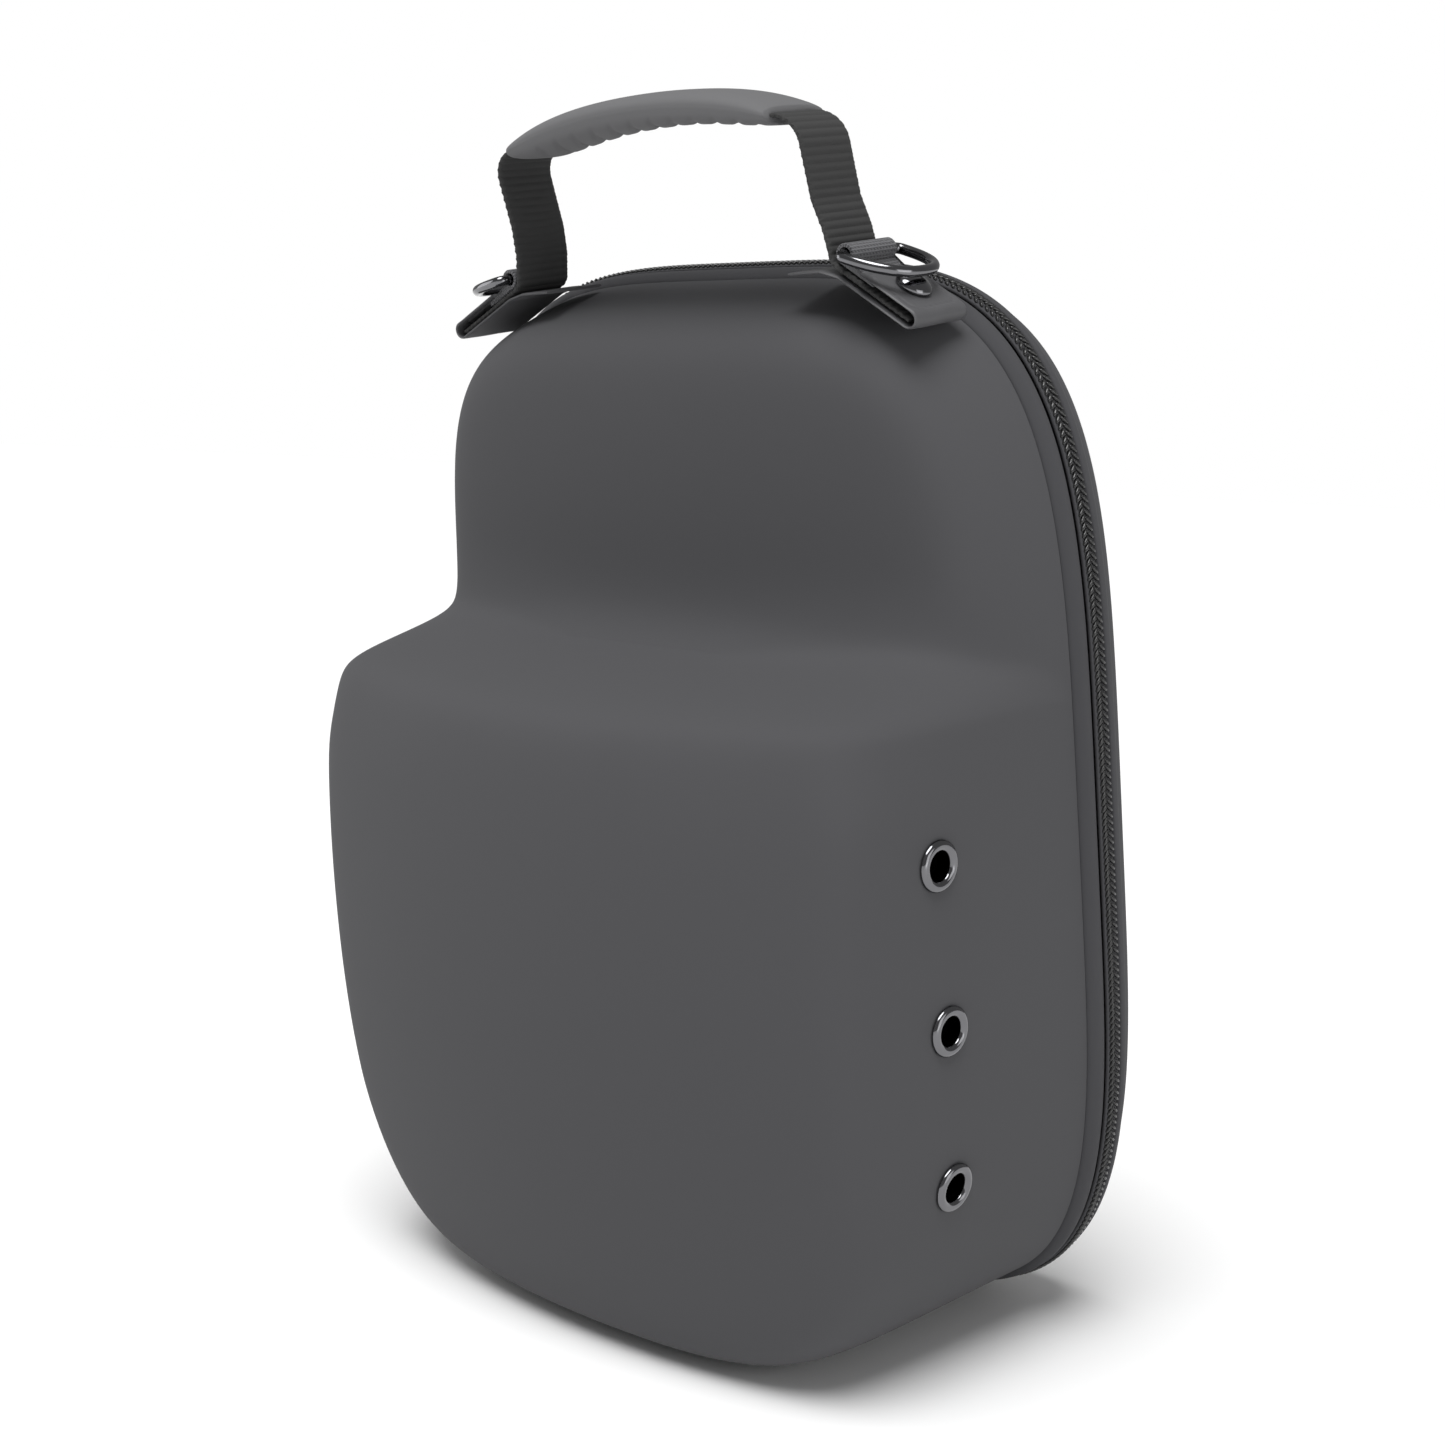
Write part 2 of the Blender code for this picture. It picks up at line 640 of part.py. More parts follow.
def ring_bar(sign):
    """The bar's place, its x without its sign and its z."""
    x, z = on_tab(sign, *ring_bar_on_tab(sign))
    return abs(x), z


def make_keeper(side, sign, handle, webbing):
    """Webbing folded round the bar, with its tail sewn into the tab."""
    centre = ring_bar_on_tab(sign)
    _, tail, _ = tab_layers()
    high = tail + KEEPER_THICKNESS / 2
    lap = TAB_LENGTH - TAB_LAP
    outline = arc(centre, KEEPER_BORE + KEEPER_THICKNESS, radians(-20), radians(270), 13)
    outline += [(lap + KEEPER_LAP, tail - KEEPER_THICKNESS / 2), (lap + KEEPER_LAP, high)]
    outline += [(lap - 5 * GAP, high)]
    outline = [on_tab(sign, *point) for point in outline]
    keeper = prism(f"keeper_{side}", outline, 0, KEEPER_WIDTH, webbing, handle)
    bar_x, bar_z = ring_bar(sign)
    reach = KEEPER_WIDTH
    plug = [(AXIS, -reach), (AXIS, reach), (KEEPER_BORE, reach), (KEEPER_BORE, -reach)]
    cutter = turned(f"cut_keeper_{side}", plug, (sign * bar_x, 0, bar_z), (0, 1, 0), webbing, handle)
    fill_bore(cutter)
    cutter.hide_render = True
    cutter.display_type = "WIRE"
    drill = keeper.modifiers.new("Bar", "BOOLEAN")
    drill.operation = "DIFFERENCE"
    drill.object = cutter


def ring_rest_angle(sign):
    """How far below level the ring lies when its wire rests on the rivet's dome."""
    _, _, top = tab_layers()
    crest = top + TAB_LEATHER / 2 + GAP + RIVET_DOME + RIVET_RIM
    rivet_x, rivet_z = on_tab(sign, rivet_along(), crest)
    bar_x, bar_z = ring_bar(sign)
    fall = bar_z - rivet_z - (RING_WIRE / 2 + GAP) / cos(tab_slope(sign))
    return atan2(fall, min(abs(rivet_x) - bar_x, RING_REACH))


def ring_outline(count):
    """The D's middle line as evenly spaced points: across the bar, and out from it.

    Its outer part is half a superellipse, and its bar part is one with squarer corners.
    """
    turn = np.linspace(0, 2 * pi, 2000, endpoint=False)
    outer = np.sin(turn) > 0
    power = np.where(outer, RING_ROUNDNESS, RING_BAR_POWER)
    reach = np.where(outer, RING_REACH - RING_CORNER, RING_CORNER)
    across = RING_WIDTH / 2 * np.sign(np.cos(turn)) * np.abs(np.cos(turn)) ** (2 / power)
    out = RING_CORNER + reach * np.sign(np.sin(turn)) * np.abs(np.sin(turn)) ** (2 / power)
    loop_across, loop_out = np.append(across, across[0]), np.append(out, out[0])
    length = np.concatenate([[0], np.cumsum(np.hypot(np.diff(loop_across), np.diff(loop_out)))])
    wanted = np.linspace(0, length[-1], count, endpoint=False)
    return np.interp(wanted, length, loop_across), np.interp(wanted, length, loop_out)


def make_ring(side, sign, handle, metal):
    """A D of round wire, hinged on its straight bar, which is the object's own origin."""
    bar_x, bar_z = ring_bar(sign)
    fall = (0, sign * ring_rest_angle(sign), 0)
    hinge = frame_at(f"ring_hinge_{side}", (sign * bar_x, 0, bar_z), fall, handle)
    across, out = ring_outline(RING_POINTS)
    path = [(sign * reach, y, 0) for y, reach in zip(across, out)]
    curve = bpy.data.curves.new(f"d_ring_{side}", "CURVE")
    curve.dimensions = "3D"
    curve.bevel_depth = RING_WIRE / 2
    curve.bevel_resolution = 1
    curve.materials.append(metal)
    spline = curve.splines.new("POLY")
    spline.points.add(len(path) - 1)
    for point, place in zip(spline.points, path):
        point.co = (*place, 1)
    spline.use_cyclic_u = True
    ring = bpy.data.objects.new(f"d_ring_{side}", curve)
    bpy.context.scene.collection.objects.link(ring)
    ring.parent = hinge


def make_handle(case, finishes):
    """The handle's pieces, turned a little about the point between its two tabs."""
    pivot = frame_at("handle_pivot", (0, HANDLE_Y, TAB_BEND_Z), (0, -HANDLE_SKEW, 0), case)
    skew = frame_at("handle", (0, 0, -TAB_BEND_Z), (0, 0, 0), pivot)
    for side, sign in SIDES.items():
        make_tab(side, sign, skew, finishes["leather"])
        make_rivet(side, sign, skew, finishes["metal"])
        make_strap(side, sign, skew, finishes["webbing"])
        make_keeper(side, sign, skew, finishes["webbing"])
        make_ring(side, sign, skew, finishes["metal"])
    make_grip(skew, finishes["rubber"])


def standing_lean():
    """How far the case leans forward to stand on both its zip band and its front shell."""
    band_bottom = -(RIM_HEIGHT / 2 + CHAIN_OUTWARD)
    band_y = CHAIN_START + CHAIN_WIDTH
    points, _, _ = front_surface(0.0)
    under = points[(points[:, 2] < CROWN_MIDDLE) & (points[:, 1] < -CROWN_DEPTH / 4)]
    slopes = (under[:, 2] - band_bottom) / (band_y - under[:, 1])
    return float(np.arctan(slopes.min()))


def stand_on_floor(case):
    """Turns the case to its lean and puts the middle of its box's bottom at the origin."""
    case.rotation_euler = (standing_lean(), 0, 0)
    bpy.context.view_layer.update()
    graph = bpy.context.evaluated_depsgraph_get()
    corners = []
    for obj in bpy.context.scene.objects:
        if obj.type not in ("MESH", "CURVE") or obj.hide_render:
            continue
        seen = obj.evaluated_get(graph)
        mesh = seen.to_mesh()
        flat = np.empty(len(mesh.vertices) * 3, np.float32)
        mesh.vertices.foreach_get("co", flat)
        world = np.array(seen.matrix_world)
        placed = flat.reshape(-1, 3) @ world[:3, :3].T + world[:3, 3]
        corners += [placed.min(axis=0), placed.max(axis=0)]
        seen.to_mesh_clear()
    low, high = np.min(corners, axis=0), np.max(corners, axis=0)
    case.location = (-(low[0] + high[0]) / 2, -(low[1] + high[1]) / 2, -low[2])


def main():
    clear_scene()
    finishes = {
        "shell": material("shell fabric", (0.055, 0.055, 0.058), 0.75),
        "cloth": material("zip tape", (0.045, 0.045, 0.047), 0.8),
        "teeth": material("zip teeth", (0.02, 0.02, 0.021), 0.35),
        "webbing": material("webbing", (0.03, 0.03, 0.032), 0.7),
        "leather": material("leather", (0.07, 0.07, 0.073), 0.45),
        "rubber": material("grip rubber", (0.12, 0.12, 0.125), 0.5),
        "metal": material("black nickel", (0.16, 0.16, 0.17), 0.2, 1.0),
    }
    case = frame_at("case")
    front = make_shells(case, finishes["shell"])
    make_zip(case, finishes["cloth"], finishes["teeth"], finishes["metal"])
    make_eyelets(case, front, finishes["metal"])
    make_handle(case, finishes)
    stand_on_floor(case)


main()
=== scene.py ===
"""Looks of the moulded cap carrier case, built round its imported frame.

Shapes are worked out in the case's own frame, in metres: the plane where the front
shell meets the zip is y = 0, the front bulges towards -Y, +Z is up and z = 0 is half
the height of the rim. in_row() then leans them into the row frame.
"""

import json
from math import atan2, cos, pi, radians, sin, tan

import bpy
import numpy as np
from mathutils import Matrix, Vector


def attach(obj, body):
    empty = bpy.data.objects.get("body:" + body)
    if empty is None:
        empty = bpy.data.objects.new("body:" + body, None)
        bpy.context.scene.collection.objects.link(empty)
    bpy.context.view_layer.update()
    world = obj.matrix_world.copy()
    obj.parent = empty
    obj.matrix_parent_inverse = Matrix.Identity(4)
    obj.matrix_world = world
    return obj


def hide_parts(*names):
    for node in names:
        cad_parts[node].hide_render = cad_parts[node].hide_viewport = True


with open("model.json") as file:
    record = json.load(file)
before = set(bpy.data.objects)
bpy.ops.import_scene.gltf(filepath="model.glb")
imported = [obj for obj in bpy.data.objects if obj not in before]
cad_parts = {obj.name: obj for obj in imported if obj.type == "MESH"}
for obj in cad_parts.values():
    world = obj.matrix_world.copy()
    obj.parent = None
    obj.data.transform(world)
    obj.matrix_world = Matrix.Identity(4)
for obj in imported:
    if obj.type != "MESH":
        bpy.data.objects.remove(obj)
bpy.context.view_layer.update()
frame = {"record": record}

bl_info = {
    "name": "Cap Carrier Case",
    "version": (1, 0, 0),
    "blender": (4, 5, 0),
    "location": "View3D > Sidebar > Cap Case",
    "description": "Builds a moulded cap carrier case with a zip, a webbing handle and its hardware",
    "category": "Add Mesh",
}

MM = 0.001
GAP = 0.3 * MM
SIDES = {"right": 1, "left": -1}

# Rim of both shells
RIM_HEIGHT = 315 * MM
RIM_WIDTH = 229 * MM
RIM_POWER = 4.1
RIM_NARROWING = 0.02
SHELL_WALL = 3 * MM

# Front shell
CROWN_DEPTH = 116.4 * MM
CROWN_SIDE_FALL = 23 * MM
CROWN_END_FALL = 12 * MM
CROWN_HEIGHT = 215.8 * MM
CROWN_TOP = CROWN_HEIGHT - RIM_HEIGHT / 2
CROWN_MIDDLE = (CROWN_TOP - RIM_HEIGHT / 2) / 2
CROWN_TOP_DRAFT = radians(1.2)
CROWN_SIDE_DRAFT = radians(5.5)
CROWN_BOTTOM_DRAFT = radians(9.5)
CROWN_ROUNDNESS = 4.5
CROWN_TOP_ROUNDNESS = 1.83
BRIM_DEPTH = 39.3 * MM
BRIM_SIDE_FALL = 6 * MM
BRIM_FLARE = 10.8 * MM
BRIM_FLARE_HEIGHT = 7.2 * MM
BRIM_SIDE_DRAFT = radians(18)
BRIM_TOP_DRAFT = radians(14)
BRIM_ROUNDNESS = 2.7
STEP_FILLET = 1.05
STEP_CORNER = 24 * MM
CREASE_FORWARD = 55 * MM
CREASE_WIDTH = 9 * MM
CREASE_SPAN = 0.62
SOFT_BELOW = 6 * MM
SOFT_REACH = 16 * MM
SOFT_PASSES = 70
STEP_CROWD_BELOW = 1.5 * MM
STEP_CROWD_REACH = 8 * MM
STEP_CROWDING = 10.0
FRONT_COLUMNS = 150
FRONT_ROWS = 220
BACK_COLUMNS = 121

# Zip and back shell
TAPE_DEPTH = 6.2 * MM
TAPE_INNER = -3.4 * MM
CHAIN_WIDTH = 6.0 * MM
CHAIN_OUTWARD = 4.4 * MM
CHAIN_THICKNESS = 2.4 * MM
CHAIN_BED_SINK = 1.1 * MM
FRONT_TAPE_ARC = (0.2 * MM, 2.4 * MM, 1.5 * MM)
REAR_TAPE_ARC = (4 * MM, 2 * MM, 0.5 * MM)
TOOTH_WIDTH = 1.1 * MM
TOOTH_HEIGHT = 1.5 * MM
TOOTH_LENGTH = 3.5 * MM
TOOTH_SLANT = 0.75
TOOTH_SINK = 0.85 * MM
CHAIN_START = TAPE_DEPTH + 2 * GAP
REAR_TAPE_START = CHAIN_START + CHAIN_WIDTH + GAP
REAR_TAPE_DEPTH = 6.0 * MM
BACK_START = REAR_TAPE_START + REAR_TAPE_DEPTH + GAP
BACK_DEPTH = 15 * MM
BACK_ROUND = 17 * MM
BACK_ROUNDNESS = 2.3
SLIDER_HEIGHT = -40 * MM
SLIDER_LENGTH = 14 * MM
SLIDER_WIDTH = 9 * MM
PULL_LENGTH = 30 * MM
PULL_THICKNESS = 1.4 * MM
PULL_END = 3 * MM
SLIDER_THICKNESS = 3.5 * MM
SLIDER_NECK = 2.5 * MM

# Eyelets
EYELET_FORWARD = 60 * MM
EYELET_TOP = 11 * MM
EYELET_PITCH = 46.5 * MM
EYELET_COUNT = 3
EYELET_RADIUS = 7.1 * MM
EYELET_BORE = 4.0 * MM
EYELET_BARREL = 0.9 * MM
EYELET_LIP = 1.6 * MM

# Handle
HANDLE_Y = -16 * MM
HANDLE_SKEW = radians(1.8)
HANDLE_LEAN = radians(11)
TAB_BEND_X = 60.5 * MM
TAB_BEND_Z = RIM_HEIGHT / 2 + 1 * MM
LEAN_START = TAB_BEND_Z + 11.5 * MM
TAB_SLOPE = {1: radians(34), -1: radians(25)}
TAB_LEATHER = 0.9 * MM
TAB_WIDTH = 24 * MM
TAB_LENGTH = 30 * MM
TAB_INNER_LENGTH = 14 * MM
TAB_LAP = 21 * MM
TAB_BEND_REACH = 3 * MM
STITCH_MARGIN = 2.2 * MM
STITCH_REACH = 8.6 * MM
STITCH_PITCH = 2.6 * MM
STITCH_DEPTH = 0.28 * MM
CRINKLE_REACH = 4 * MM
CRINKLE_ACROSS = 2.3 * MM
CRINKLE_ALONG = 3.1 * MM
CRINKLE_HEIGHT = 0.10 * MM
STRAP_WIDTH = 22 * MM
STRAP_THICKNESS = 1.8 * MM
STRAP_BEND = 4 * MM
STRAP_FOOT = 0.6 * MM
STRAP_SHORT = 2.5 * MM
STRAP_SHOULDER = 8 * MM
RIB_DEPTH = 0.30 * MM
YARN_PITCH = 1.5 * MM
YARN_DEPTH = 0.05 * MM
STRAP_PICK = 2.4 * MM
KEEPER_RIB_PITCH = 2.1 * MM
KEEPER_PICK = 1.4 * MM
HANDLE_RISE = 48 * MM
GRIP_LENGTH = 98 * MM
GRIP_WIDTH = 27 * MM
GRIP_THICKNESS = 9.5 * MM
GRIP_ARCH = 6 * MM
GRIP_RIDGE = 0.12 * MM
KEEPER_WIDTH = 20 * MM
KEEPER_THICKNESS = 1.0 * MM
KEEPER_LAP = 4 * MM
KEEPER_EDGE = 0.3 * MM
RING_WIRE = 3.0 * MM
RING_WIDTH = 27 * MM
RING_REACH = 19 * MM
RING_CORNER = 4 * MM
RING_ROUNDNESS = 2.3
RING_BAR_POWER = 5
KEEPER_BORE = RING_WIRE / 2 + 1.4 * GAP
RIVET_RADIUS = 5.2 * MM
RIVET_DOME = 2.6 * MM
RIVET_RIM = 0.4 * MM
RIVET_BACK = 1 * MM

# The photograph's camera, in the case's frame
CAMERA_TURN = radians(41.484)
CAMERA_RISE = radians(15.513)
CAMERA_ROLL = radians(-4.719)
CAMERA_DISTANCE = 641.833 * MM
CAMERA_SIDE = 13.01 * MM
CAMERA_UP = -20.196 * MM
PHOTO_WIDTH = 1445
PHOTO_FOCAL = 2024.464
SENSOR = 36

# Stage
FLOOR_REACH = 60
SUN_FROM = (0.25, -0.75, 2.0)
SUN_SPREAD = radians(40)
SIDE_LIGHTS = {"left": (-1.1, -0.5, 0.5), "right": (1.2, -0.1, 0.35)}
SIDE_LIGHT_SIZE = 0.7

BACK_MOUNT = frame["record"]["mounts"][0]
LEAN = atan2(BACK_MOUNT["axis"][2], BACK_MOUNT["axis"][1])
TURN = np.array(Matrix.Rotation(LEAN, 3, "X"))
PLACE = np.array(BACK_MOUNT["pos_m"]) - TURN @ np.array([0, BACK_START + BACK_DEPTH, 0])


# Settings


class ShellSettings(bpy.types.PropertyGroup):
    fabric: bpy.props.FloatVectorProperty(
        name="Fabric",
        description="Colour of the knit over the shells",
        subtype="COLOR",
        size=3,
        default=(0.043, 0.043, 0.044),
    )
    knit_pitch: bpy.props.FloatProperty(
        name="Knit pitch",
        description="Width of one stitch of the knit",
        default=0.72 * MM,
        unit="LENGTH",
    )
    knit_depth: bpy.props.FloatProperty(
        name="Knit depth",
        description="Height of a stitch above the hollows",
        default=0.05 * MM,
        unit="LENGTH",
    )
    crease_depth: bpy.props.FloatProperty(
        name="Crease depth",
        description="Depth of the soft dip where the crown meets the upper face",
        default=1.1 * MM,
        unit="LENGTH",
    )


class ZipSettings(bpy.types.PropertyGroup):
    tape: bpy.props.FloatVectorProperty(
        name="Tape",
        description="Colour of the woven tapes",
        subtype="COLOR",
        size=3,
        default=(0.055, 0.055, 0.057),
    )
    teeth: bpy.props.FloatVectorProperty(
        name="Teeth",
        description="Colour of the coil",
        subtype="COLOR",
        size=3,
        default=(0.030, 0.030, 0.031),
    )
    tooth_pitch: bpy.props.FloatProperty(
        name="Tooth pitch",
        description="Distance from one tooth to the next",
        default=1.95 * MM,
        unit="LENGTH",
    )
    weave_pitch: bpy.props.FloatProperty(
        name="Weave pitch",
        description="Distance between the tape's diagonal yarns",
        default=0.75 * MM,
        unit="LENGTH",
    )


class HandleSettings(bpy.types.PropertyGroup):
    webbing: bpy.props.FloatVectorProperty(
        name="Webbing",
        description="Colour of the straps and keepers",
        subtype="COLOR",
        size=3,
        default=(0.028, 0.028, 0.030),
    )
    rib_pitch: bpy.props.FloatProperty(
        name="Rib pitch",
        description="Distance between the ribs along a strap",
        default=4.4 * MM,
        unit="LENGTH",
    )
    leather: bpy.props.FloatVectorProperty(
        name="Leather",
        description="Colour of the tabs",
        subtype="COLOR",
        size=3,
        default=(0.075, 0.075, 0.078),
    )
    rubber: bpy.props.FloatVectorProperty(
        name="Rubber",
        description="Colour of the grip",
        subtype="COLOR",
        size=3,
        default=(0.125, 0.125, 0.130),
    )
    groove_pitch: bpy.props.FloatProperty(
        name="Groove pitch",
        description="Distance between the grip's slanted grooves",
        default=7.5 * MM,
        unit="LENGTH",
    )
    groove_depth: bpy.props.FloatProperty(
        name="Groove depth",
        description="Depth of the grip's slanted grooves",
        default=0.7 * MM,
        unit="LENGTH",
    )


class MetalSettings(bpy.types.PropertyGroup):
    nickel: bpy.props.FloatVectorProperty(
        name="Nickel",
        description="Colour of the rings, rivets, eyelets and slider",
        subtype="COLOR",
        size=3,
        default=(0.20, 0.20, 0.21),
    )
    roughness: bpy.props.FloatProperty(
        name="Roughness",
        description="How dull the metal is",
        subtype="FACTOR",
        default=0.16,
        min=0,
        max=1,
    )


class StageSettings(bpy.types.PropertyGroup):
    floor: bpy.props.FloatVectorProperty(
        name="Floor",
        description="Colour of the floor and backdrop",
        subtype="COLOR",
        size=3,
        default=(0.90, 0.90, 0.90),
    )
    overhead: bpy.props.FloatProperty(
        name="Overhead light",
        description="Strength of the wide soft light above the front",
        default=3.4,
        min=0,
    )
    side_power: bpy.props.FloatProperty(
        name="Side lights",
        description="Power of each light beside the case",
        subtype="POWER",
        default=3.0,
    )
    ambient: bpy.props.FloatProperty(
        name="Ambient",
        description="Strength of the pale surroundings",
        default=0.26,
        min=0,
    )


# Frames


def in_row(points):
    """Points of the case's frame in the row frame: leaned about X, then moved."""
    return points @ TURN.T + PLACE


def handle_in_row(points):
    """Points of the handle's frame, turned by its skew about Y between the tabs, in the row frame."""
    skew = np.array(Matrix.Rotation(-HANDLE_SKEW, 3, "Y"))
    bend = np.array([0, 0, TAB_BEND_Z])
    return in_row((points - bend) @ skew.T + bend + np.array([0, HANDLE_Y, 0]))


def handle_lean(height):
    """How far forward the handle leans at a height: a straight line from where it starts."""
    return tan(HANDLE_LEAN) * np.maximum(height - LEAN_START, 0)


# Meshes


def quads(rows, columns, wrap_rows=False, wrap_columns=False):
    """Corner numbers of a grid's quads, whose point (row, column) is row * columns + column."""
    row = np.arange(rows if wrap_rows else rows - 1)[:, None]
    column = np.arange(columns if wrap_columns else columns - 1)[None, :]
    below, beside = (row + 1) % rows, (column + 1) % columns
    corners = np.broadcast_arrays(
        row * columns + column,
        row * columns + beside,
        below * columns + beside,
        below * columns + column,
    )
    return np.stack(corners, -1).reshape(-1, 4)


def add_object(name, points, face_groups, uv_groups=None):
    """A smooth object from points and arrays of faces, each with the uv of its corners."""
    mesh = bpy.data.meshes.new(name)
    mesh.vertices.add(len(points))
    mesh.vertices.foreach_set("co", np.asarray(points, np.float32).ravel())
    loops = np.concatenate([faces.ravel() for faces in face_groups]).astype(np.int32)
    sizes = np.concatenate([np.full(len(faces), faces.shape[1]) for faces in face_groups])
    starts = np.concatenate([[0], np.cumsum(sizes)[:-1]]).astype(np.int32)
    mesh.loops.add(len(loops))
    mesh.loops.foreach_set("vertex_index", loops)
    mesh.polygons.add(len(sizes))
    mesh.polygons.foreach_set("loop_start", starts)
    mesh.update(calc_edges=True)
    if uv_groups is not None:
        layer = mesh.uv_layers.new(name="surface")
        uv = np.concatenate([np.asarray(group).reshape(-1, 2) for group in uv_groups])
        layer.data.foreach_set("uv", uv.astype(np.float32).ravel())
    mesh.validate()
    mesh.shade_smooth()
    obj = bpy.data.objects.new(name, mesh)
    bpy.context.scene.collection.objects.link(obj)
    return obj


def grid_object(name, points, uv, wrap_rows=False, wrap_columns=False, caps=False):
    """A grid of points as an object. A wrapped side's uv has one more row or column.

    With caps, the first and last rows of a grid with wrapped columns are closed by a face.
    """
    rows, columns = points.shape[:2]
    faces = [quads(rows, columns, wrap_rows, wrap_columns)]
    corners = uv.reshape(-1, 2)[quads(*uv.shape[:2])]
    uvs = [corners.reshape(-1, 2)]
    if caps:
        first = np.arange(columns)[::-1][None, :]
        last = (rows - 1) * columns + np.arange(columns)[None, :]
        faces += [first, last]
        uvs += [uv[0, :columns][::-1], uv[-1, :columns]]
    obj = add_object(name, points.reshape(-1, 3), faces, uvs)
    face_outwards(obj)
    return obj


def face_outwards(obj):
    """Turns a closed mesh inside out if its volume comes out negative."""
    mesh = obj.data
    mesh.calc_loop_triangles()
    corners = np.empty(len(mesh.loop_triangles) * 3, np.int32)
    mesh.loop_triangles.foreach_get("vertices", corners)
    place = np.empty(len(mesh.vertices) * 3, np.float32)
    mesh.vertices.foreach_get("co", place)
    a, b, c = place.reshape(-1, 3)[corners.reshape(-1, 3)].transpose(1, 0, 2).astype(float)
    if (a * np.cross(b, c)).sum() < 0:
        mesh.flip_normals()


def arc_length(points):
    """Running length along the first axis of an array of points."""
    step = np.linalg.norm(np.diff(points, axis=0), axis=-1)
    return np.concatenate([np.zeros((1, *step.shape[1:])), np.cumsum(step, axis=0)])


def evenly(points, count, closed=False):
    """The points of a line set again at even spacing along it."""
    line = np.vstack([points, points[:1]]) if closed else np.asarray(points)
    length = arc_length(line)
    wanted = np.linspace(0, length[-1], count, endpoint=not closed)
    return np.stack([np.interp(wanted, length, line[:, axis]) for axis in range(line.shape[1])], -1)


def finish_piece(obj, material, nodes, body="case", sharp=None):
    """Gives a piece its material and slot, and lets it ride in place of its CAD nodes."""
    obj.data.materials.clear()
    obj.data.materials.append(material)
    if sharp is not None:
        obj.data.set_sharp_from_angle(angle=radians(sharp))
    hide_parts(*nodes)
    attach(obj, body)
    return obj


# Shapes of the shells


def smooth_step(low, high, value):
    share = np.clip((value - low) / (high - low), 0, 1)
    return share * share * (3 - 2 * share)


def signed_power(value, power):
    """The power of a value's size, with the value's own sign."""
    return np.sign(value) * np.abs(value) ** power


def power_sum(values, power):
    """The values joined so that the largest rules and equals blend softly."""
    return sum(value**power for value in values) ** (1 / power)


def rim_outline(count):
    """The rim in x and z, evenly spaced, and its outward normal: a superellipse,
    a little narrower at the top."""
    angle = np.linspace(0, 2 * pi, 7200, endpoint=False)
    x = RIM_WIDTH / 2 * signed_power(np.cos(angle), 2 / RIM_POWER)
    z = RIM_HEIGHT / 2 * signed_power(np.sin(angle), 2 / RIM_POWER)
    x = x * (1 - RIM_NARROWING * z / (RIM_HEIGHT / 2))
    even = evenly(np.stack([x, z], -1), count, closed=True)
    ahead = np.roll(even, -1, axis=0) - np.roll(even, 1, axis=0)
    ahead /= np.linalg.norm(ahead, axis=1, keepdims=True)
    return even, np.stack([ahead[:, 1], -ahead[:, 0]], -1)


def rim_half_width(height):
    half = RIM_HEIGHT / 2
    share = (1 - abs(height / half) ** RIM_POWER) ** (1 / RIM_POWER)
    return RIM_WIDTH / 2 * share * (1 - RIM_NARROWING * height / half)


def larger(one, other, reach):
    """The larger of two depths, raised where they differ by less than reach."""
    near = np.maximum(reach - np.abs(one - other), 0)
    return np.maximum(one, other) + near**2 / (4 * reach)


def front_depth(x, z, inset, skin=0.0):
    """How far the front shell bulges at x, z, inset inside the rim.

    The crown is the soft least of what its side draft, top draft and face allow, and
    its top falls in a quarter circle at both sides. The brim form is the soft least of
    its draft and face. The shell is the larger of both, with a fillet between them.
    """
    half_width, half_height = RIM_WIDTH / 2, RIM_HEIGHT / 2
    low = smooth_step(-half_height / 2, -half_height, z)
    high = smooth_step(half_height / 2, half_height, z)
    crown_draft = CROWN_SIDE_DRAFT + (CROWN_BOTTOM_DRAFT - CROWN_SIDE_DRAFT) * low
    brim_draft = BRIM_SIDE_DRAFT + (BRIM_TOP_DRAFT - BRIM_SIDE_DRAFT) * high
    off_middle = (x / half_width) ** 2
    off_crown = ((z - CROWN_MIDDLE) / (CROWN_HEIGHT / 2)) ** 2
    flare = BRIM_FLARE * np.exp(-np.abs(z - CROWN_TOP) / BRIM_FLARE_HEIGHT)
    crown_face = CROWN_DEPTH - CROWN_SIDE_FALL * off_middle - CROWN_END_FALL * off_crown - skin
    brim_face = BRIM_DEPTH - BRIM_SIDE_FALL * off_middle + flare - skin
    inset = np.maximum(inset, 1e-6)
    corner = np.clip((np.abs(x) - half_width + STEP_CORNER) / STEP_CORNER, 0, 1)
    fall = STEP_CORNER * (1 - np.sqrt(1 - 0.98 * corner**2))
    below_top = np.maximum(CROWN_TOP - fall - skin - z, 1e-6)
    capped = power_sum((below_top / tan(CROWN_TOP_DRAFT), crown_face), -CROWN_TOP_ROUNDNESS)
    crown = power_sum((inset / np.tan(crown_draft), capped), -CROWN_ROUNDNESS)
    brim = power_sum((inset / np.tan(brim_draft), brim_face), -BRIM_ROUNDNESS)
    return larger(crown, brim, STEP_FILLET * brim)


def crease(x, z, depth, fall):
    """How far the crown's top dips in front of the step: a bell in depth, kept to the
    height of the step, and deepest towards both sides."""
    across = np.exp(-(((depth - CREASE_FORWARD) / CREASE_WIDTH) ** 2))
    level = np.exp(-(((z - CROWN_TOP) / (12 * MM)) ** 2))
    share = np.abs(x) / (RIM_WIDTH / 2)
    along = 0.5 + 0.5 * np.exp(-(((share - CREASE_SPAN) / 0.3) ** 2))
    return fall * across * level * along * smooth_step(1.0, 0.65, share)


